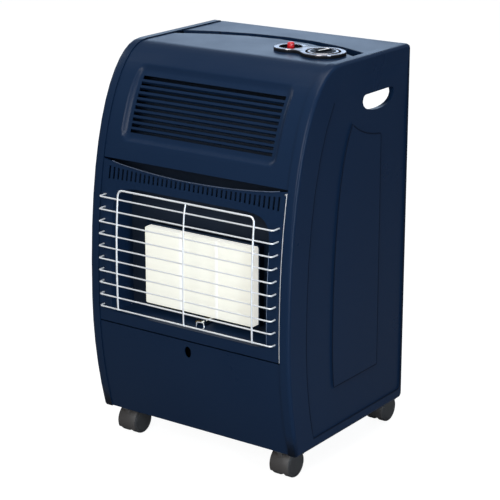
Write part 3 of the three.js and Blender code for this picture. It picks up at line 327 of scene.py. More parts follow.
# ---------------------------------------------------------------- finishes
@dataclass(frozen=True)
class Finish:
    """A surface finish: a Principled shader with cloudy tone, a roughness range and relief."""

    slot: Slot
    colour: Triple
    worn: Triple
    smooth: float = 0.3
    rough: float = 0.45
    cloud: float = 14.0
    amount: float = 0.5
    metallic: float = 0.0
    gloss: float = 0.5
    fine: float = 900.0
    broad: float = 60.0
    broad_share: float = 0.3
    depth: float = 0.00004
    brushed: float = 0.0
    coat: float = 0.0
    coat_roughness: float = 0.2
    # glow is an emission strength; on the ceramic finishes it is painted light on an unlit burner
    glow: float = 0.0

    def material(self, effects: Effects) -> bpy.types.Material:
        """Builds the finish as a material.

        Args:
            effects: the shared shader groups.

        Returns:
            The new material.
        """
        made = bpy.data.materials.new(self.slot.value)
        made.use_nodes = True
        tree = made.node_tree
        shader = fill(tree.nodes["Principled BSDF"], {
            "Metallic": self.metallic, "Specular IOR Level": self.gloss,
            "Coat Weight": self.coat, "Coat Roughness": self.coat_roughness})
        tone = put_group(tree, effects.tone, {
            "Base": (*self.colour, 1.0), "Worn": (*self.worn, 1.0), "Scale": self.cloud,
            "Amount": self.amount, "Smooth": self.smooth, "Rough": self.rough})
        tree.links.new(tone.outputs["Color"], shader.inputs["Base Color"])
        tree.links.new(tone.outputs["Roughness"], shader.inputs["Roughness"])
        if self.brushed:
            relief = put_group(tree, effects.brush, {"Pitch": self.brushed})
        else:
            relief = put_group(tree, effects.relief, {
                "Fine": self.fine, "Broad": self.broad, "Broad share": self.broad_share})
        bump = fill(tree.nodes.new("ShaderNodeBump"), {"Distance": self.depth})
        tree.links.new(relief.outputs["Height"], bump.inputs["Height"])
        tree.links.new(bump.outputs["Normal"], shader.inputs["Normal"])
        if self.glow:
            self.add_glow(tree, shader, effects)
        return made

    def add_glow(self, tree: bpy.types.NodeTree, shader: bpy.types.Node, effects: Effects) -> None:
        """Makes the surface glow, a little less inside its ports: painted light, since the plaque
        is not burning.

        Args:
            tree: the material's nodes.
            shader: its Principled shader.
            effects: the shared shader groups.
        """
        ports = put_group(tree, effects.ports, {})
        mix = tree.nodes.new("ShaderNodeMix")
        mix.data_type = "RGBA"
        fill(mix, {"A": (*self.colour, 1.0), "B": (*self.worn, 1.0)})
        tree.links.new(ports.outputs["Port"], mix.inputs["Factor"])
        tree.links.new(mix.outputs["Result"], shader.inputs["Emission Color"])
        shader.inputs["Emission Strength"].default_value = self.glow


NAVY = Finish(Slot.NAVY, (0.0056, 0.0165, 0.043), (0.0068, 0.0185, 0.046), 0.27, 0.35,
              cloud=9.0, gloss=0.12, fine=700.0, broad=110.0, broad_share=0.25, depth=0.00005)
INNER = Finish(Slot.INNER, (0.0070, 0.0140, 0.0280), (0.0060, 0.0120, 0.0250), 0.5, 0.65,
               cloud=14.0, gloss=0.25, depth=0.00005)
ZINC = Finish(Slot.ZINC, (0.17, 0.175, 0.185), (0.12, 0.12, 0.13), 0.32, 0.5, metallic=0.9,
              brushed=500.0, depth=0.00004)
WIRE = Finish(Slot.WIRE, (0.93, 0.94, 0.96), (0.86, 0.87, 0.89), 0.28, 0.38, metallic=0.45,
              fine=1500.0, depth=0.00001)
BEZEL = Finish(Slot.BEZEL, (0.38, 0.35, 0.36), (0.32, 0.30, 0.31), 0.22, 0.32, metallic=1.0,
               fine=1500.0, depth=0.00001)
BURNER = Finish(Slot.BURNER, (0.022, 0.040, 0.075), (0.018, 0.032, 0.06), 0.4, 0.55, metallic=1.0,
                brushed=700.0, depth=0.00003)
# the ceramic's glow is painted light: the burner is not lit, and the glow makes its face read white
CERAMIC = Finish(Slot.CERAMIC, (0.90, 0.885, 0.78), (0.87, 0.84, 0.72), 0.7, 0.85, glow=0.27,
                 fine=500.0, depth=0.0001)
BRASS = Finish(Slot.BRASS, (0.52, 0.36, 0.12), (0.38, 0.25, 0.09), 0.22, 0.38, metallic=1.0,
               brushed=900.0, depth=0.00003)
BLACK = Finish(Slot.BLACK, (0.006, 0.007, 0.010), (0.009, 0.010, 0.013), 0.4, 0.52,
               gloss=0.05, fine=1400.0, depth=0.00004)
SHADE = Finish(Slot.NAVY, (0.0022, 0.0066, 0.0180), (0.0028, 0.0076, 0.020), 0.35, 0.45,
               cloud=9.0, gloss=0.08, fine=700.0, depth=0.00005)
# bluish bright metal for the beads that paint the highlights along the mouth's and crescent's edges
CUT = Finish(Slot.PIN, (0.21, 0.26, 0.38), (0.17, 0.22, 0.32), 0.25, 0.38, metallic=1.0,
             brushed=900.0, depth=0.00002)
# the plaque's side faces glow brighter than the front: painted light on sides that get little lamp
# light
RIM = Finish(Slot.CERAMIC, (0.91, 0.90, 0.84), (0.88, 0.86, 0.79), 0.7, 0.85, glow=0.6, fine=500.0)
# the joint strips glow a little: painted light
STRIP = Finish(Slot.CERAMIC, (0.93, 0.93, 0.91), (0.91, 0.91, 0.88), 0.6, 0.7, glow=0.36,
               fine=500.0)
PALE = Finish(Slot.BLACK, (0.78, 0.78, 0.76), (0.66, 0.66, 0.64), 0.35, 0.5, fine=1400.0)
RED = Finish(Slot.RED, (0.62, 0.012, 0.018), (0.5, 0.01, 0.015), 0.12, 0.2, coat=0.5,
             coat_roughness=0.08, fine=1200.0, depth=0.00001)
PIN = Finish(Slot.PIN, (0.5, 0.51, 0.53), (0.4, 0.41, 0.43), 0.2, 0.34, metallic=1.0,
             brushed=900.0, depth=0.00002)
CASTER = Finish(Slot.CASTER, (0.050, 0.045, 0.043), (0.064, 0.059, 0.056), 0.4, 0.58,
                cloud=40.0, fine=1300.0, depth=0.00006)
WHEEL = Finish(Slot.WHEEL, (0.030, 0.029, 0.030), (0.050, 0.049, 0.048), 0.46, 0.66,
               cloud=55.0, fine=900.0, depth=0.00008)


class Paintbox:
    """Every finish as a material, by slot or trim."""

    def __init__(self) -> None:
        """Builds the materials once."""
        effects = Effects()
        finishes = (NAVY, INNER, ZINC, WIRE, BEZEL, BURNER, CERAMIC, BRASS, BLACK, RED, PIN,
                    CASTER, WHEEL)
        self.materials = {finish.slot: finish.material(effects) for finish in finishes}
        extras = {Trim.POINTER: PALE, Trim.SHADE: SHADE, Trim.JOINT: STRIP, Trim.RIM: RIM,
                  Trim.CUT: CUT}
        for trim, finish in extras.items():
            self.materials[trim] = finish.material(effects)
            self.materials[trim].name = trim.value

    def paint(self, piece: bpy.types.Object, coat: Slot | Trim) -> None:
        """Gives a piece a slot's or trim's material in place of what it had."""
        piece.data.materials.clear()
        piece.data.materials.append(self.materials[coat])


# ---------------------------------------------------------------- shapes
class Shape:
    """A bmesh in the making, with the moves that the pieces share."""

    def __init__(self) -> None:
        """Starts with nothing."""
        self.bm = bmesh.new()

    def tube(self, points: Sequence[Vector], radius: float, sides: int = 12) -> None:
        """A round bar along points, one ring at each, with its two ends closed.

        Args:
            points: the route.
            radius: the bar's radius.
            sides: faces round it.
        """
        ways = [self.way(points, i) for i in range(len(points))]
        turn = ways[0].to_track_quat("Z", "Y")
        ring = bmesh.ops.create_circle(
            self.bm, cap_ends=False, radius=radius, segments=sides,
            matrix=Matrix.Translation(points[0]) @ turn.to_matrix().to_4x4())["verts"]
        edges = list({edge for vert in ring for edge in vert.link_edges})
        bmesh.ops.contextual_create(self.bm, geom=edges)
        for i in range(1, len(points)):
            grown = bmesh.ops.extrude_edge_only(self.bm, edges=edges)["geom"]
            ring = [part for part in grown if isinstance(part, bmesh.types.BMVert)]
            edges = [part for part in grown if isinstance(part, bmesh.types.BMEdge)]
            bmesh.ops.translate(self.bm, verts=ring, vec=points[i] - points[i - 1])
            swing = ways[i - 1].rotation_difference(ways[i])
            bmesh.ops.rotate(self.bm, verts=ring, cent=points[i], matrix=swing.to_matrix())
        bmesh.ops.contextual_create(self.bm, geom=edges)

    @staticmethod
    def way(points: Sequence[Vector], i: int) -> Vector:
        """The route's direction at a point."""
        before, after = points[max(i - 1, 0)], points[min(i + 1, len(points) - 1)]
        first = (points[i] - before).normalized() if i else Vector()
        last = (after - points[i]).normalized() if i + 1 < len(points) else Vector()
        return (first + last).normalized()

    def lathe(self, profile: Sequence[tuple[float, float]], centre: Vector, axis: Vector,
              across: Vector, steps: int, degrees: float = 360.0) -> None:
        """Spins a profile of (radius, distance along the axis) about an axis.

        Args:
            profile: the outline, from one end of the axis to the other.
            centre: the axis's origin.
            axis: its direction.
            across: the direction in which the profile's radius starts.
            steps: faces round the turn.
            degrees: how far it turns.
        """
        before = set(self.bm.verts)
        verts = [self.bm.verts.new(centre + across * r + axis * h) for r, h in profile]
        edges = [self.bm.edges.new(pair) for pair in zip(verts, verts[1:])]
        full = degrees >= 360.0
        bmesh.ops.spin(self.bm, geom=[*verts, *edges], cent=centre, axis=axis, dvec=Vector(),
                       angle=math.radians(degrees), steps=steps, use_merge=full,
                       use_duplicate=False)
        grown = [vert for vert in self.bm.verts if vert not in before]
        bmesh.ops.remove_doubles(self.bm, verts=grown, dist=1e-6)

    def block(self, low: Vector, high: Vector, soft: float, segments: int = 3) -> None:
        """A box between two corners with softened edges.

        Args:
            low: the lowest corner.
            high: the highest corner.
            soft: radius of its edges.
            segments: faces round each edge.
        """
        size = high - low
        grown = bmesh.ops.create_cube(self.bm, size=1.0, matrix=Matrix.Translation((low + high) / 2)
                                      @ Matrix.Diagonal((*size, 1.0)))["verts"]
        edges = list({edge for vert in grown for edge in vert.link_edges})
        bmesh.ops.bevel(self.bm, geom=edges, offset=soft, segments=segments, profile=0.5,
                        affect="EDGES", material=-1)

    def finish(self, name: str, degrees: float = 35.0) -> bpy.types.Object:
        """Closes the work: normals out, smooth faces with hard edges over an angle.

        Args:
            name: the piece's name.
            degrees: edges sharper than this stay hard.

        Returns:
            The new object, linked to the scene.
        """
        bmesh.ops.recalc_face_normals(self.bm, faces=self.bm.faces)
        mesh = bpy.data.meshes.new(name)
        self.bm.to_mesh(mesh)
        self.bm.free()
        mesh.shade_smooth()
        mesh.set_sharp_from_angle(angle=math.radians(degrees))
        piece = bpy.data.objects.new(name, mesh)
        bpy.context.scene.collection.objects.link(piece)
        return piece


# ---------------------------------------------------------------- routes
def evenly(first: float, last: float, steps: int) -> list[float]:
    """Evenly spaced values from first to last, both included."""
    return [first + (last - first) * i / steps for i in range(steps + 1)]


def arc(centre: Vector, start: float, sweep: float, radius: float, steps: int) -> list[Vector]:
    """Points on a level arc about a centre, both ends included.

    Args:
        centre: the arc's centre.
        start: where it starts, in radians from the X axis.
        sweep: how far it turns, in radians.
        radius: its radius.
        steps: the number of gaps between its points.

    Returns:
        The points.
    """
    return [centre + Vector((math.cos(angle), math.sin(angle), 0.0)) * radius
            for angle in evenly(start, start + sweep, steps)]


def rounded(corners: Sequence[Vector], radius: float, steps: int = 6) -> list[Vector]:
    """A route with its inner corners rounded.

    Args:
        corners: the route's corners.
        radius: how far before and after a corner the bend starts and ends.
        steps: the number of gaps between the points of each bend.

    Returns:
        The points of the rounded route.
    """
    route = [corners[0]]
    for before, corner, after in zip(corners, corners[1:], corners[2:]):
        start = corner + (before - corner).normalized() * radius
        end = corner + (after - corner).normalized() * radius
        for t in evenly(0.0, 1.0, steps):
            route.append(start.lerp(corner, t).lerp(corner.lerp(end, t), t))
    route.append(corners[-1])
    return route


def chains(edges: Sequence[bmesh.types.BMEdge]) -> list[list[Vector]]:
    """Joins loose edges end to end.

    Args:
        edges: the edges.

    Returns:
        The points of each chain; a ring's first point is given again at its end.
    """
    left = sorted(edges, key=lambda edge: edge.index)
    found: list[list[Vector]] = []
    while left:
        run = list(left.pop(0).verts)
        grown = True
        while grown:
            grown = False
            for edge in left:
                for end in (0, -1):
                    if run[end] in edge.verts:
                        run.insert(0 if end == 0 else len(run), edge.other_vert(run[end]))
                        left.remove(edge)
                        grown = True
                        break
                if grown:
                    break
        found.append([vert.co.copy() for vert in run])
    return found


@dataclass(frozen=True)
class FrontCurve:
    """The cabinet's bowed front in metres, from its rear face and bottom edge."""

    foot: float = 0.340
    bulge: float = 0.369
    bulge_height: float = 0.210
    rise: float = 0.335
    top: float = 0.225
    reach: float = 0.060
    height: float = 0.650

    def depth(self, z: float) -> float:
        """The front's y at a height, both from the cabinet's rear bottom edge."""
        if z <= self.bulge_height:
            rest = 1.0 - z / self.bulge_height
            return -self.bulge + (self.bulge - self.foot) * rest * rest
        low, high = 0.0, 1.0
        for _ in range(30):
            middle = (low + high) / 2
            if self.brow(middle).y < z:
                low = middle
            else:
                high = middle
        return self.brow(high).x

    def brow(self, t: float) -> Vector:
        """A point (y, z) of the curve from the fullest point to the flat top."""
        points = (Vector((-self.bulge, self.bulge_height)),
                  Vector((-self.bulge, self.bulge_height + self.rise)),
                  Vector((-self.top - self.reach, self.height)), Vector((-self.top, self.height)))
        shares = ((1 - t) ** 3, 3 * t * (1 - t) ** 2, 3 * t * t * (1 - t), t ** 3)
        return sum((point * share for point, share in zip(points, shares)), Vector((0.0, 0.0)))

    def outline(self, steps: int = 90) -> list[Vector]:
        """Points (y, z) along the front and over the flat top, from the foot to the rear."""
        low = [self.bulge_height * i / steps for i in range(steps)]
        rise = [self.brow(i / steps) for i in range(steps)]
        flat = [Vector((-self.top * (1 - i / steps), self.height)) for i in range(steps + 1)]
        return [*(Vector((self.depth(z), z)) for z in low), *rise, *flat]


class Seat:
    """Moves the skin of a panel copy inward, square to the bowed front.

    What lies within full of the front's outline moves the whole way, and what lies beyond none
    stays where it is.
    """

    full: float = 0.006
    none: float = 0.014

    def __init__(self, front: FrontCurve, datum: Vector) -> None:
        """Lists the front's points and the inward direction at each.

        Args:
            front: the cabinet's front curve.
            datum: the cabinet's rear bottom edge in the shared frame.
        """
        self.datum = datum
        self.points = front.outline()
        self.tree = kdtree.KDTree(len(self.points))
        for i, point in enumerate(self.points):
            self.tree.insert((0.0, point.x, point.y), i)
        self.tree.balance()

    def away(self, place: Vector) -> float:
        """How far a point of the shared frame lies from the front's outline."""
        local = place - self.datum
        return self.tree.find((0.0, local.y, local.z))[2]

    def inward(self, index: int) -> Vector:
        """The inward direction at one of the points."""
        before = self.points[max(index - 1, 0)]
        after = self.points[min(index + 1, len(self.points) - 1)]
        along = (after - before).normalized()
        return Vector((0.0, along.y, -along.x))

    def sink(self, bm: bmesh.types.BMesh, depth: float) -> None:
        """Moves the skin inward and leaves what lies deeper where it is.

        Args:
            bm: the copy's mesh.
            depth: how far the skin moves.
        """
        for vert in bm.verts:
            place = vert.co - self.datum
            _, index, away = self.tree.find((0.0, place.y, place.z))
            share = min(max((self.none - away) / (self.none - self.full), 0.0), 1.0)
            vert.co += self.inward(index) * depth * share


class Workshop:
    """What every sub-assembly needs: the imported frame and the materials.

    A copy's corners that lie within weld are joined, and neighbouring faces that turn less than
    flat degrees become one.
    """

    weld: float = 2e-6
    flat: float = 0.6

    def __init__(self, frame: dict, paints: Paintbox) -> None:
        """Keeps the frame and the materials."""
        self.nodes: dict[str, bpy.types.Object] = frame["nodes"]
        self.paints = paints
        bodies = frame["record"]["behaviour"]["bodies"]
        self.body_of: dict[str, str] = {
            node: body for body, members in bodies.items() for node in members}
        low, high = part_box("right_side_panel")
        self.datum = Vector((0.0, high.y, low.z))
        self.front = FrontCurve()
        self.seat = Seat(self.front, self.datum)

    def place(self, piece: bpy.types.Object, slot: Slot, *nodes: str) -> bpy.types.Object:
        """Paints a new piece and puts it in place of nodes, on the first one's body.

        Args:
            piece: the new piece.
            slot: its finish.
            nodes: the nodes that it stands for; the first gives its body.

        Returns:
            The piece.
        """
        self.paints.paint(piece, slot)
        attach(piece, self.body_of[nodes[0]])
        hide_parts(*nodes)
        LOG.info("%s stands for %s", piece.name, ", ".join(nodes))
        return piece

    def add(self, piece: bpy.types.Object, coat: Slot | Trim, body: str = "cabinet") -> None:
        """Paints a small extra piece and lets it ride on a body.

        Args:
            piece: the new piece.
            coat: its finish.
            body: the body that carries it.
        """
        self.paints.paint(piece, coat)
        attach(piece, body)
        LOG.info("%s rides on %s", piece.name, body)

    def keep(self, slot: Slot, *nodes: str) -> None:
        """Paints nodes that stay as they are.

        Args:
            slot: their finish.
            nodes: their names.
        """
        for node in nodes:
            self.paints.paint(self.nodes[node], slot)
            LOG.info("%s keeps its solid", node)

    def smooth_copy(self, node: str, slot: Slot, name: str,
                    degrees: float = 32.0, sunk: float = 0.0) -> bpy.types.Object:
        """A welded copy of a node with smooth curves, in its place.

        Args:
            node: the node to copy.
            slot: its finish.
            name: the new piece's name.
            degrees: edges sharper than this stay hard.
            sunk: how far the copy's skin lies behind the side panels' edges.

        Returns:
            The new piece.
        """
        shape = Shape()
        shape.bm.from_mesh(self.nodes[node].data)
        bmesh.ops.remove_doubles(shape.bm, verts=shape.bm.verts, dist=self.weld)
        if sunk:
            self.seat.sink(shape.bm, sunk)
        bmesh.ops.dissolve_limit(shape.bm, angle_limit=math.radians(self.flat),
                                 verts=shape.bm.verts, edges=shape.bm.edges, delimit={"NORMAL"})
        piece = shape.finish(name, degrees)
        weighted = piece.modifiers.new("flat_faces", "WEIGHTED_NORMAL")
        weighted.keep_sharp = True
        weighted.weight = 80
        return self.place(piece, slot, node)


# ---------------------------------------------------------------- sub-assemblies
@dataclass(frozen=True)
class SlotEdge:
    """How a panel's edge at the warm air slot moves, in metres.

    middle is the solid edge's y at x = 0, from the cabinet's rear face, shift is how far it moves
    there, and more is how much further it moves at the panel's ends.
    """

    middle: float
    shift: float
    more: float


@dataclass
class Cabinet:
    """The painted panels and the plain sheets inside."""

    shop: Workshop
    sunk: float = 0.002
    bend: float = 0.0026
    bend_root: float = 0.0003
    bend_lift: float = 0.00015
    outside: float = 0.2094
    field_border: float = 0.02
    field_rear: float = -0.005
    field_foot: float = 0.012
    field_head: float = 0.6
    stray_span: float = 0.02
    stray_points: int = 8
    seam_bow: float = 1.05
    seam_half: float = 0.188
    seam_over: float = 0.63
    front_edge: SlotEdge = SlotEdge(-0.088, -0.004, -0.022)
    rear_edge: SlotEdge = SlotEdge(-0.076, 0.006, -0.010)
    lip_back: float = -0.0688
    lip_half: float = 0.1908
    lip_foot: float = 0.5880
    lip_head: float = 0.6482
    lip_sheet: float = 0.0012
    mouth: float = 0.1643
    mouth_foot: float = 0.196
    mouth_head: float = 0.357
    crescent: float = 0.4456
    crescent_bow: float = 0.384
    crescent_half: float = 0.174
    slot_drop: float = 0.008
    slot_reach: float = 0.165
    slot_growth: float = 0.0052
    strip: float = 0.0009
    mouth_bead: float = 0.0006
    sill_screw: Triple = (-0.160, -0.139, 0.0204)

    def build(self) -> None:
        """Dresses the cabinet's nodes."""
        sides = {"left_side_panel": "left_side", "right_side_panel": "right_side",
                 "rear_cover": "rear_door"}
        for node, name in sides.items():
            copy = self.shop.smooth_copy(node, Slot.NAVY, name, degrees=50.0)
            if node != "rear_cover":
                self.press_line_shade(copy)
        front = {"upper_front_panel": "louvred_front", "burner_surround": "burner_surround_shell",
                 "lower_front_panel": "lower_front", "rear_top_cover": "rear_top"}
        made = {node: self.shop.smooth_copy(node, Slot.NAVY, name, sunk=self.sunk)
                for node, name in front.items()}
        self.raise_slots(made["burner_surround"])
        self.open_seam(made["upper_front_panel"], self.front_edge)
        self.open_seam(made["rear_top_cover"], self.rear_edge)
        self.shop.keep(Slot.ZINC, "base_tray")
        self.shop.keep(Slot.INNER, "bulkhead", "heat_deflector")
        self.edge_strip()
        self.mouth_edge()
        self.crescent_edge()
        self.slot_lip()
        self.screws()

    def raise_slots(self, panel: bpy.types.Object) -> None:
        """Lengthens the vent slots upward toward the middle of the front.

        Args:
            panel: the surround's copy.
        """
        for vert in panel.data.vertices:
            x, z = vert.co.x, vert.co.z - self.shop.datum.z
            head = self.crescent + 0.0003 + self.crescent_bow * x ** 2
            if abs(head - z - self.slot_drop) < 0.0009 and abs(x) < self.slot_reach:
                grow = self.slot_growth * (1.0 - (x / self.slot_reach) ** 2)
                vert.co.y += self.shop.front.depth(z + grow) - self.shop.front.depth(z)
                vert.co.z += grow

    def open_seam(self, panel: bpy.types.Object, edge: SlotEdge) -> None:
        """Moves a panel's edge at the warm air slot across the top.

        Args:
            panel: the panel's copy.
            edge: where the edge lies and how far it moves.
        """
        for vert in panel.data.vertices:
            y = edge.middle - self.seam_bow * vert.co.x ** 2 + self.shop.datum.y
            top = vert.co.z > self.shop.datum.z + self.seam_over
            if top and abs(vert.co.y - y) < 0.003:
                vert.co.y += edge.shift + edge.more * (vert.co.x / self.seam_half) ** 2

    def press_line_shade(self, panel: bpy.types.Object) -> None:
        """Paints shade along the tight bend of the pressed field and pad of a side panel, as dark
        ribbons.

        Short stray runs of edges get no line.

        Args:
            panel: the side panel's copy.
        """
        bm = bmesh.new()
        bm.from_mesh(panel.data)
        shape = Shape()
        for chain in chains([edge for edge in bm.edges if self.is_bend(edge)]):
            span = (chain[0] - chain[-1]).length
            if span > self.stray_span or len(chain) > self.stray_points:
                self.ribbon(shape, chain)
        bm.free()
        self.shop.add(shape.finish(f"{panel.name}_press_line_shade"), Trim.SHADE)

    def is_bend(self, edge: bmesh.types.BMEdge) -> bool:
        """Whether an edge lies between the panel's flat outside and a pressed slope."""
        if len(edge.link_faces) != 2:
            return False
        flat, slope = sorted((abs(face.normal.x) for face in edge.link_faces), reverse=True)
        place = (edge.verts[0].co + edge.verts[1].co) / 2
        local = place - self.shop.datum
        inside = (self.shop.seat.away(place) > self.field_border and local.y < self.field_rear
                  and self.field_foot < local.z < self.field_head)
        bent = flat > 0.995 and 0.70 < slope < 0.985
        return bent and inside and abs(place.x) > self.outside

    def ribbon(self, shape: Shape, chain: Sequence[Vector]) -> None:
        """Adds a flat ribbon of painted shade along a chain of points on a side panel.

        Args:
            shape: the shape that takes it.
            chain: the points.
        """
        out = Vector((math.copysign(1.0, chain[0].x), 0.0, 0.0))
        root, lift = out * self.bend_root, out * self.bend_lift
        rings = []
        for i, point in enumerate(chain):
            along = (chain[min(i + 1, len(chain) - 1)] - chain[max(i - 1, 0)]).normalized()
            across = along.cross(RIGHT).normalized() * self.bend / 2
            rings.append([shape.bm.verts.new(place) for place in (
                point - across - root, point - across * 0.8 + lift,
                point + across * 0.8 + lift, point + across - root)])
        for first, second in zip(rings, rings[1:]):
            for i in range(4):
                j = (i + 1) % 4
                shape.bm.faces.new((first[i], first[j], second[j], second[i]))
        shape.bm.faces.new(rings[0])
        shape.bm.faces.new(rings[-1])

    def edge_strip(self) -> None:
        """A thin chrome bead along the surround's right edge, for the bright line there."""
        low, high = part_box("burner_surround")
        foot, head = low.z - self.shop.datum.z + 0.001, high.z - self.shop.datum.z - 0.003
        heights = evenly(foot, head, 24)
        self.bead("edge_strip", [self.skin(high.x - self.strip, z) for z in heights],
                  self.strip, Slot.WIRE)

    def mouth_edge(self) -> None:
        """A bright bead up the mouth's right side: a painted highlight along that edge."""
        heights = evenly(self.mouth_foot, self.mouth_head, 23)
        self.bead("mouth_edge", [self.skin(self.mouth, z) for z in heights], self.mouth_bead, Trim.CUT)

    def crescent_edge(self) -> None:
        """A bright bead along the surround's crescent, with its ends sunk into the panel: a painted
        highlight along that edge.
        """
        route = [self.skin(x, self.crescent + self.crescent_bow * x ** 2)
                 for x in evenly(-self.crescent_half, self.crescent_half, 30)]
        for end in (route[0], route[-1]):
            end.y += 0.002
        self.bead("crescent_edge", route, self.strip, Trim.CUT)

    def bead(self, name: str, route: Sequence[Vector], radius: float, coat: Slot | Trim) -> None:
        """Lays a thin round bead on the front.

        Args:
            name: the piece's name.
            route: its middle line.
            radius: its radius.
            coat: its finish.
        """
        shape = Shape()
        shape.tube(route, radius)
        self.shop.add(shape.finish(name), coat)

    def slot_lip(self) -> None:
        """The rear cover's lip, turned down along the warm air slot, in the shaded navy: a dark
        sheet of painted shade in the slot.
        """
        shape = Shape()
        rows = []
        for x in evenly(-self.lip_half, self.lip_half, 30):
            bow = self.seam_bow * x ** 2 - self.rear_edge.more * (x / self.seam_half) ** 2
            rows.append([shape.bm.verts.new(self.shop.datum + Vector((x, self.lip_back - bow, z)))
                         for z in (self.lip_foot, self.lip_head)])
        for (a, b), (c, d) in zip(rows, rows[1:]):
            shape.bm.faces.new((a, c, d, b))
        bmesh.ops.recalc_face_normals(shape.bm, faces=shape.bm.faces)
        bmesh.ops.solidify(shape.bm, geom=shape.bm.faces, thickness=self.lip_sheet)
        self.shop.add(shape.finish("slot_lip"), Trim.SHADE)

    def screws(self) -> None:
        """The small screws at the strip's top and on the mouth's sill."""
        low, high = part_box("burner_surround")
        z = high.z - self.shop.datum.z - 0.0055
        rise = self.skin(0.0, z + 0.002) - self.skin(0.0, z - 0.002)
        outward = Vector((0.0, -rise.z, rise.y)).normalized()
        shape = Shape()
        self.screw_head(shape, self.skin(high.x - 0.0036, z), outward)
        x, y, over = self.sill_screw
        self.screw_head(shape, Vector((x, y, low.z + over)), UP)
        self.shop.add(shape.finish("surround_screws"), Slot.PIN)

    @staticmethod
    def screw_head(shape: Shape, seat: Vector, outward: Vector) -> None:
        """Adds a small round screw head.

        Args:
            shape: the shape that takes it.
            seat: where it sits.
            outward: the direction that its head faces.
        """
        shape.lathe([(0.0, -0.0004), (0.0019, -0.0004), (0.0019, 0.0002), (0.0016, 0.0007),
                     (0.0009, 0.0010), (0.0006, 0.0010), (0.0003, 0.0006), (0.0, 0.0005)],
                    seat, outward, RIGHT, 24)

    def skin(self, x: float, z: float) -> Vector:
        """A point on the sunk front at a height over the cabinet's bottom edge."""
        return self.shop.datum + Vector((x, self.shop.front.depth(z) + self.sunk, z))


@dataclass
class Burner:
    """The ceramic burner, its housing and frame, the pilot and the feed."""

    shop: Workshop
    strip: float = 0.0022
    proud: float = 0.0003
    wire: float = 0.0009
    wire_bend: float = 0.002
    wire_corners: tuple[Triple, ...] = (
        (0.0035, -0.165, 0.2458), (0.0045, -0.165, 0.2540), (0.0185, -0.165, 0.2550),
        (0.0205, -0.165, 0.2468), (0.0205, -0.169, 0.2464))

    def build(self) -> None:
        """Dresses the burner's nodes."""
        self.shop.keep(Slot.BURNER, "burner_housing", "burner_frame", "pilot_bracket")
        self.shop.keep(Slot.CERAMIC, "spark_electrode")
        for side in ("left", "centre", "right"):
            copy = self.shop.smooth_copy(f"ceramic_plaque_{side}", Slot.CERAMIC, f"plaque_{side}")
            copy.data.materials.append(self.shop.paints.materials[Trim.RIM])
            for face in copy.data.polygons:  # the plaque's side faces take the brighter glowing edge finish: painted light, so that the sides read as white as the front
                face.material_index = int(abs(face.normal.y) < 0.5)
        self.shop.keep(Slot.BRASS, "injector", "burner_feed_pipe", "pilot_burner", "thermocouple")
        self.joints()
        self.pilot_loop()

    def pilot_loop(self) -> None:
        """The bent bright wire that shields the pilot."""
        shape = Shape()
        corners = [Vector(place) for place in self.wire_corners]
        shape.tube(rounded(corners, self.wire_bend), self.wire)
        self.shop.add(shape.finish("pilot_wire", 60.0), Slot.WIRE)

    def joints(self) -> None:
        """The two smooth white strips that close the joints between the plaques; their finish glows
        a little, which is painted light.
        """
        low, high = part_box("ceramic_plaque_centre")
        shape = Shape()
        for x in (low.x, high.x):
            shape.block(Vector((x - self.strip, low.y - self.proud, low.z + 0.0004)),
                        Vector((x + self.strip, low.y + self.proud, high.z - 0.0004)), 0.0002, 1)
        self.shop.add(shape.finish("plaque_joint_strips"), Trim.JOINT)


@dataclass
class Guard:
    """The welded wire guard in front of the burner."""

    shop: Workshop
    wires: int = 10
    low: float = 0.2035
    pitch: float = 0.0218
    half: float = 0.181
    left: float = -0.1388
    middle: float = 0.0036
    right: float = 0.1446
    over: float = 0.017
    stand: float = 0.011
    gain: float = 0.007
    wire: float = 0.00135
    rod: float = 0.0016
    weld: float = 0.0024
    bite: float = 0.006
    wire_bend: float = 0.005
    rod_bend: float = 0.011
    rod_room: float = 0.012
    tuck: float = 0.0018

    def at(self, x: float, y: float, z: float) -> Vector:
        """A point given from the cabinet's rear bottom edge, in the shared frame."""
        return self.shop.datum + Vector((x, y, z))

    def plane(self, z: float) -> float:
        """The y of the guard's upright bars at a height."""
        share = (z - self.low) / (self.top - self.low)
        return self.shop.front.depth(z) - self.stand - self.gain * share

    @property
    def top(self) -> float:
        """The height of the loop's top bar."""
        return self.low + (self.wires - 1) * self.pitch + self.over

    def wire_route(self, z: float) -> list[Vector]:
        """One cross wire, with both ends turned back into their holes."""
        front, back = self.plane(z) + self.weld, self.shop.front.depth(z) + self.bite
        corners = [self.at(-self.half, back, z), self.at(-self.half, front, z),
                   self.at(self.half, front, z), self.at(self.half, back, z)]
        return rounded(corners, self.wire_bend)

    def loop_route(self) -> list[Vector]:
        """The upright loop: up the left side, across the top and down the right."""
        heights = evenly(self.low, self.top - self.rod_room, 16)
        left = [self.at(self.left, self.plane(z), z) for z in heights]
        across = [self.at(x, self.plane(self.top), self.top) for x in (self.left, self.right)]
        right = [self.at(self.right, self.plane(z), z) for z in reversed(heights)]
        over = rounded([left[-1], *across, right[0]], self.rod_bend, 8)
        return [*left[:-1], *over, *right[1:]]

    def middle_route(self) -> list[Vector]:
        """The middle bar, which bends back behind the loop's top."""
        last = self.low + (self.wires - 1) * self.pitch
        route = [self.at(self.middle, self.plane(z), z) for z in evenly(self.low, last, 12)]
        end = self.at(self.middle, self.plane(self.top) + self.weld, self.top - self.tuck)
        return [*route, end]

    def build(self) -> None:
        """Bends the wires and puts them in the guard's place."""
        shape = Shape()
        for i in range(self.wires):
            shape.tube(self.wire_route(self.low + i * self.pitch), self.wire)
        shape.tube(self.loop_route(), self.rod)
        shape.tube(self.middle_route(), self.wire)
        self.shop.place(shape.finish("wire_guard", 60.0), Slot.WIRE, "guard_grille")


@dataclass(frozen=True)
class BezelPlate:
    """A flat plate of the bezel: the radii of its discs and holes, and of its edges.

    The first disc and hole lie round the knob, and the second ones round the button.
    """

    name: str
    discs: tuple[float, float]
    holes: tuple[float, float]
    soft: float


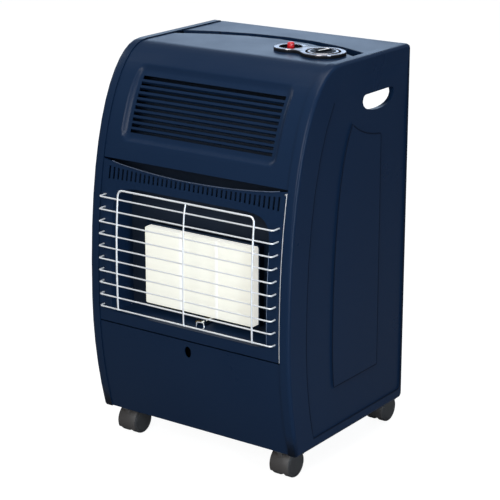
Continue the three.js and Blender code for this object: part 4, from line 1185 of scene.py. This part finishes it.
@dataclass
class Controls:
    """The tap with its knob, the igniter and the bezel round them."""

    shop: Workshop
    skirt: BezelPlate = BezelPlate("bezel_base", (0.0384, 0.0292), (0.0362, 0.0232), 0.0002)
    bright: BezelPlate = BezelPlate("bezel_plate", (0.0378, 0.0286), (0.0302, 0.0200), 0.0004)
    skirt_foot: float = 0.7012
    knob_radius: float = 0.0214
    ring_radius: float = 0.0262
    button_radius: float = 0.006
    crown: float = 0.0022
    ridge: float = 0.0030
    line: float = 0.0016
    lower: float = 0.002
    waist: float = 0.025
    pointer_turn: float = -13.0

    def build(self) -> None:
        """Dresses the controls."""
        middle, top = (corner.z - self.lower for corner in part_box("bezel_trim"))
        self.shop.place(self.plate(self.skirt, self.skirt_foot, middle), Slot.BLACK,
                        "control_bezel")
        self.shop.place(self.plate(self.bright, middle, top), Slot.BEZEL, "bezel_trim")
        for node, name in {"knob_dial_plate": "knob_well", "button_plate": "igniter_plate",
                           "piezo_igniter": "igniter_body"}.items():
            copy = self.shop.smooth_copy(node, Slot.BLACK, name)
            for vert in copy.data.vertices:
                vert.co.z -= self.lower
        self.knob()
        self.ring()
        self.button()
        self.shop.keep(Slot.PIN, "push_rod", "tap_spindle")
        self.shop.smooth_copy("gas_tap", Slot.BRASS, "tap_body")
        self.shop.smooth_copy("hose_nozzle", Slot.BRASS, "hose_tail")

    def outline(self, radii: tuple[float, float]) -> list[Vector]:
        """The rim of two discs, round the knob and the button, joined by a smooth waist.

        Args:
            radii: the discs' radii.

        Returns:
            The rim's points, once round.
        """
        knob, button = self.axis_of("knob_ring")[0], self.axis_of("igniter_button")[0]
        gap = button - knob
        along = gap.normalized()
        aside = Vector((-along.y, along.x, 0.0))
        first, second = (radius + self.waist for radius in radii)
        reach = (first ** 2 - second ** 2 + gap.length_squared) / (2 * gap.length)
        rise = math.sqrt(first ** 2 - reach ** 2)
        turn = math.atan2(rise, reach)
        far = math.atan2(rise, gap.length - reach)
        base = math.atan2(along.y, along.x)
        waist = knob + along * reach
        return [*arc(knob, base + turn, math.tau - 2 * turn, radii[0], 60),
                *self.hollow(waist - aside * rise, knob, button),
                *arc(button, base + math.pi + far, math.tau - 2 * far, radii[1], 48),
                *self.hollow(waist + aside * rise, button, knob)]

    def hollow(self, centre: Vector, start: Vector, end: Vector) -> list[Vector]:
        """The points between two discs on the waist's hollow curve, without its ends."""
        first, last = (start - centre).normalized(), (end - centre).normalized()
        return [centre + first.slerp(last, t) * self.waist for t in evenly(0.0, 1.0, 12)[1:-1]]

    def plate(self, size: BezelPlate, low: float, high: float) -> bpy.types.Object:
        """A flat plate with the bezel's outline and a round hole in each disc.

        Args:
            size: the plate's name and radii.
            low: height of its underside.
            high: height of its top.

        Returns:
            The new piece.
        """
        loops = [self.outline(size.discs)]
        for node, hole in zip(("knob_ring", "igniter_button"), size.holes):
            loops.append(arc(self.axis_of(node)[0], 0.0, math.tau, hole, 72)[:-1])
        shape = Shape()
        edges = []
        for loop in loops:
            verts = [shape.bm.verts.new((place.x, place.y, high)) for place in loop]
            edges += [shape.bm.edges.new(pair) for pair in zip(verts, verts[1:] + verts[:1])]
        rims = set(edges)
        faces = bmesh.ops.triangle_fill(shape.bm, use_beauty=True, use_dissolve=False,
                                        edges=edges)["geom"]
        faces = [item for item in faces if isinstance(item, bmesh.types.BMFace)]
        grown = bmesh.ops.extrude_face_region(shape.bm, geom=faces, use_keep_orig=True)["geom"]
        for vert in (item for item in grown if isinstance(item, bmesh.types.BMVert)):
            vert.co.z = low
        bmesh.ops.recalc_face_normals(shape.bm, faces=shape.bm.faces)
        bmesh.ops.bevel(shape.bm, geom=[edge for edge in rims if edge.is_valid],
                        offset=size.soft, segments=2, profile=0.5, affect="EDGES", material=-1)
        return shape.finish(size.name, 30.0)

    def axis_of(self, node: str) -> tuple[Vector, float, float]:
        """Where an upright round node stands: its axis at floor height, lowest and highest z."""
        low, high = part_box(node)
        middle = (low + high) / 2
        return Vector((middle.x, middle.y, 0.0)), low.z, high.z

    def knob(self) -> None:
        """The black knob: a dished face, a ridge across it and a pale pointer line on it."""
        centre, low, high = self.axis_of("control_knob")
        high -= self.lower
        face, r = high - 0.0014, self.knob_radius
        shape = Shape()
        shape.lathe([(0.0, low), (r, low), (r, face - 0.0012), (r - 0.0004, face - 0.0004),
                     (r - 0.0013, face), (r - 0.0042, face), (r - 0.0056, face - 0.0006),
                     (r - 0.0066, face - 0.0012), (0.0, face - 0.0012)],
                    centre, UP, RIGHT, 72)
        turn = Matrix.Rotation(math.radians(self.pointer_turn), 3, "Z")
        before = set(shape.bm.verts)
        shape.block(centre + Vector((-self.ridge, -r + 0.006, face - 0.004)),
                    centre + Vector((self.ridge, r - 0.005, high)), 0.0008)
        bmesh.ops.rotate(shape.bm, verts=[v for v in shape.bm.verts if v not in before],
                         cent=centre, matrix=turn)
        self.shop.place(shape.finish("tap_knob"), Slot.BLACK, "control_knob")
        line = Shape()
        line.block(centre + Vector((-self.line, -r + 0.010, high - 0.0006)),
                   centre + Vector((self.line, r - 0.008, high + 0.0003)), 0.0002, 1)
        bmesh.ops.rotate(line.bm, verts=line.bm.verts, cent=centre, matrix=turn)
        self.shop.add(line.finish("knob_pointer"), Trim.POINTER, self.shop.body_of["control_knob"])

    def ring(self) -> None:
        """The bright ring round the knob."""
        centre, low, high = self.axis_of("knob_ring")
        high -= self.lower
        inner, outer = self.knob_radius + 0.0003, self.ring_radius
        shape = Shape()
        shape.lathe([(inner, low), (outer, low), (outer, high - 0.001),
                     (outer - 0.0004, high - 0.0003), (outer - 0.001, high),
                     (inner + 0.0005, high), (inner, high - 0.0005), (inner, low)],
                    centre, UP, RIGHT, 72)
        self.shop.place(shape.finish("knob_trim"), Slot.BEZEL, "knob_ring")

    def button(self) -> None:
        """The red button with a crowned top."""
        centre, low, high = self.axis_of("igniter_button")
        r, rim = self.button_radius, high - self.crown
        crown = [(r * math.cos(a), rim + self.crown * math.sin(a))
                 for a in (math.radians(10 * i) for i in range(1, 9))]
        shape = Shape()
        shape.lathe([(0.0, low), (r, low), (r, rim), *crown, (0.0, high)],
                    centre, UP, RIGHT, 48)
        self.shop.place(shape.finish("red_button"), Slot.RED, "igniter_button")


@dataclass
class Caster:
    """One twin-wheel caster."""

    shop: Workshop
    corner: Corner
    radius: float = 0.02419
    hood_radius: float = 0.0273
    hood_end: float = 25.0
    sheet: float = 0.0018
    web: float = 0.0045
    web_end: float = 5.0
    bore: float = 0.0028
    half: float = 0.019
    trail: float = 0.019
    stem: float = 0.004

    def wheel(self, side: int) -> None:
        """One wheel: a rounded tread, a stepped outer face and a flat inner face.

        Args:
            side: +1 for the right wheel and -1 for the left.
        """
        hand = "right" if side > 0 else "left"
        node = f"{self.corner.value}_wheel_{hand}"
        low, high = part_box(node)
        centre = Vector(((low.x + high.x) / 2, (low.y + high.y) / 2, self.radius))
        half, r = (high.x - low.x) / 2, self.radius
        outer = [(r, half - 0.0030), (r - 0.0003, half - 0.0017), (r - 0.0010, half - 0.0007),
                 (r - 0.0022, half), (r - 0.0040, half), (r - 0.0044, half - 0.0007),
                 (r - 0.0056, half - 0.0007), (r - 0.0060, half), (0.0, half)]
        shape = Shape()
        shape.lathe([(self.bore, -half), (r - 0.0014, -half), (r - 0.0004, -half + 0.0004),
                     (r, -half + 0.0014), *outer],
                    centre, Vector((side, 0, 0)), Vector((0, 1, 0)), 64)
        self.shop.place(shape.finish(f"{self.corner.value}_{hand}_tread"), Slot.WHEEL, node)

    def hood(self) -> None:
        """The hood over the wheels, its middle web and the stem."""
        node = f"{self.corner.value}_hood"
        low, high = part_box(node)
        middle = (low.x + high.x) / 2
        front, back = (corner.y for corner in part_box(f"{self.corner.value}_axle"))
        axle = Vector((middle, (front + back) / 2, self.radius))
        r, half = self.hood_radius, self.half
        shape = Shape()
        shape.lathe([(r - 0.0022, -half), (r - 0.0009, -half + 0.0004), (r, -half + 0.0018),
                     (r, half - 0.0018), (r - 0.0009, half - 0.0004), (r - 0.0022, half)],
                    axle, RIGHT, self.spoke(self.hood_end), 40, 180.0)
        bmesh.ops.recalc_face_normals(shape.bm, faces=shape.bm.faces)
        if shape.bm.faces[0].normal.dot(shape.bm.faces[0].calc_center_median() - axle) < 0:
            bmesh.ops.reverse_faces(shape.bm, faces=shape.bm.faces)
        bmesh.ops.solidify(shape.bm, geom=shape.bm.faces, thickness=self.sheet)
        before = set(shape.bm.edges)
        bore, web = self.bore, self.web
        shape.lathe([(bore, -web), (r - 0.0010, -web), (r - 0.0005, -web + 0.0005),
                     (r - 0.0005, web - 0.0005), (r - 0.0010, web), (bore, web), (bore, -web)],
                    axle, RIGHT, self.spoke(self.web_end), 40, 200.0)
        bmesh.ops.holes_fill(shape.bm, edges=[e for e in shape.bm.edges
                                              if e not in before and e.is_boundary], sides=8)
        stem = Vector((middle, axle.y - self.trail, 0.0))
        shape.block(Vector((middle - web, stem.y - 0.0042, axle.z)),
                    Vector((middle + web, axle.y, axle.z + r - 0.003)), 0.0008)
        shape.lathe([(0.0, axle.z), (self.stem, axle.z), (self.stem, high.z - 0.001),
                     (self.stem - 0.001, high.z), (0.0, high.z)],
                    stem, UP, RIGHT, 32)
        self.shop.place(shape.finish(f"{self.corner.value}_fork"), Slot.CASTER, node)

    @staticmethod
    def spoke(degrees: float) -> Vector:
        """The direction square to the axle at an angle over the level."""
        turn = math.radians(degrees)
        return Vector((0.0, math.cos(turn), math.sin(turn)))

    def build(self) -> None:
        """Builds the caster."""
        self.shop.keep(Slot.ZINC, f"{self.corner.value}_socket")
        self.shop.keep(Slot.PIN, f"{self.corner.value}_axle")
        self.hood()
        self.wheel(1)
        self.wheel(-1)


# ---------------------------------------------------------------- studio
@dataclass(frozen=True)
class Lamp:
    """A soft rectangular lamp: its place and size in metres, its power in watts, its colour."""

    name: str
    place: Triple
    size: tuple[float, float]
    power: float
    colour: Triple = (1.0, 1.0, 1.0)


@dataclass
class Studio:
    """Floor, backdrop, lamps and camera."""

    target: Triple = (-0.0087, 0.00963, 0.3356)
    distance: float = 3.122
    yaw: float = 35.45
    pitch: float = 17.22
    lens: float = 127.2
    floor_tone: float = 0.22
    floor_lift: float = 0.93
    lamp_aim: Triple = (0.0, 0.0, 0.35)
    lamps: tuple[Lamp, ...] = (
        Lamp("overhead", (0.2, -0.4, 3.2), (2.2, 2.2), 62.0),
        Lamp("front", (0.75, -3.2, 1.75), (1.2, 1.8), 58.0),
        Lamp("right_strip", (2.3, -1.1, 0.62), (0.10, 1.15), 25.0, (0.72, 0.86, 1.0)),
        Lamp("floor_card", (1.30, -0.80, 0.06), (0.9, 0.3), 3.5, (0.8, 0.9, 1.0)),
        Lamp("left_strip", (-2.4, -0.2, 1.9), (0.4, 1.4), 8.0, (0.9, 0.95, 1.0)),
        Lamp("rear_sheet", (-1.95, 2.85, 1.65), (3.0, 0.9), 19.0, (0.52, 0.72, 1.0)),
    )

    def camera(self) -> None:
        """Sets the camera at the photo's viewpoint."""
        yaw, pitch = math.radians(self.yaw), math.radians(self.pitch)
        level = Vector((-math.sin(yaw), math.cos(yaw), 0.0))
        ahead = level * math.cos(pitch) - Vector((0.0, 0.0, math.sin(pitch)))
        data = bpy.data.cameras.new("view")
        data.sensor_width = 36.0
        data.lens = self.lens
        data.clip_end = 60.0
        made = bpy.data.objects.new("view", data)
        made.location = Vector(self.target) - ahead * self.distance
        made.rotation_euler = ahead.to_track_quat("-Z", "Y").to_euler()
        bpy.context.scene.collection.objects.link(made)
        bpy.context.scene.camera = made

    def floor(self) -> None:
        """Lays a wide pale floor that keeps the object's shadow."""
        shape = Shape()
        bmesh.ops.create_grid(shape.bm, x_segments=1, y_segments=1, size=14.0)
        made = shape.finish("floor")
        made.data.materials.append(self.floor_material())

    def floor_material(self) -> bpy.types.Material:
        """The floor's matt pale grey, lifted to white only where the camera sees it."""
        made = bpy.data.materials.new("floor_pale")
        made.use_nodes = True
        tree = made.node_tree
        tone = self.floor_tone
        shader = fill(tree.nodes["Principled BSDF"], {
            "Base Color": (tone, tone, tone, 1.0), "Roughness": 0.9, "Specular IOR Level": 0.0})
        glow = fill(tree.nodes.new("ShaderNodeEmission"), {"Strength": self.floor_lift})
        add = tree.nodes.new("ShaderNodeAddShader")
        tree.links.new(shader.outputs["BSDF"], add.inputs[0])
        tree.links.new(glow.outputs["Emission"], add.inputs[1])
        lift_for_camera(tree, shader.outputs["BSDF"], add.outputs["Shader"],
                        tree.nodes["Material Output"].inputs["Surface"])
        return made

    def world(self) -> None:
        """A soft grey room that looks white to the camera."""
        made = bpy.data.worlds.new("room")
        bpy.context.scene.world = made
        made.use_nodes = True
        tree = made.node_tree
        soft = fill(tree.nodes["Background"], {"Color": (0.88, 0.94, 1.0, 1.0), "Strength": 0.30})
        white = fill(tree.nodes.new("ShaderNodeBackground"),
                     {"Color": (1.0, 1.0, 1.0, 1.0), "Strength": 1.0})
        lift_for_camera(tree, soft.outputs["Background"], white.outputs["Background"],
                        tree.nodes["World Output"].inputs["Surface"])

    def hang(self, lamp: Lamp) -> None:
        """Hangs a lamp so that it faces the object."""
        data = bpy.data.lights.new(lamp.name, "AREA")
        data.shape = "RECTANGLE"
        data.size, data.size_y = lamp.size
        data.energy = lamp.power
        data.color = lamp.colour
        made = bpy.data.objects.new(lamp.name, data)
        made.location = lamp.place
        ahead = Vector(self.lamp_aim) - Vector(lamp.place)
        made.rotation_euler = ahead.to_track_quat("-Z", "Y").to_euler()
        bpy.context.scene.collection.objects.link(made)

    def build(self) -> None:
        """Sets the whole studio."""
        self.camera()
        self.floor()
        self.world()
        for lamp in self.lamps:
            self.hang(lamp)
        bpy.context.scene.view_settings.view_transform = "Standard"


def flat(box: tuple[Vector, Vector]) -> list[list[float]]:
    """A box's two corners as plain numbers."""
    return [[float(value) for value in corner] for corner in box]


def main() -> None:
    """Builds the heater's looks and the studio round it."""
    logging.basicConfig(level=logging.INFO, format="%(message)s")
    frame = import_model()
    shop = Workshop(frame, Paintbox())
    Cabinet(shop).build()
    Burner(shop).build()
    Guard(shop).build()
    Controls(shop).build()
    for corner in Corner:
        Caster(shop, corner).build()
    Studio().build()


if __name__ == "__main__":
    main()
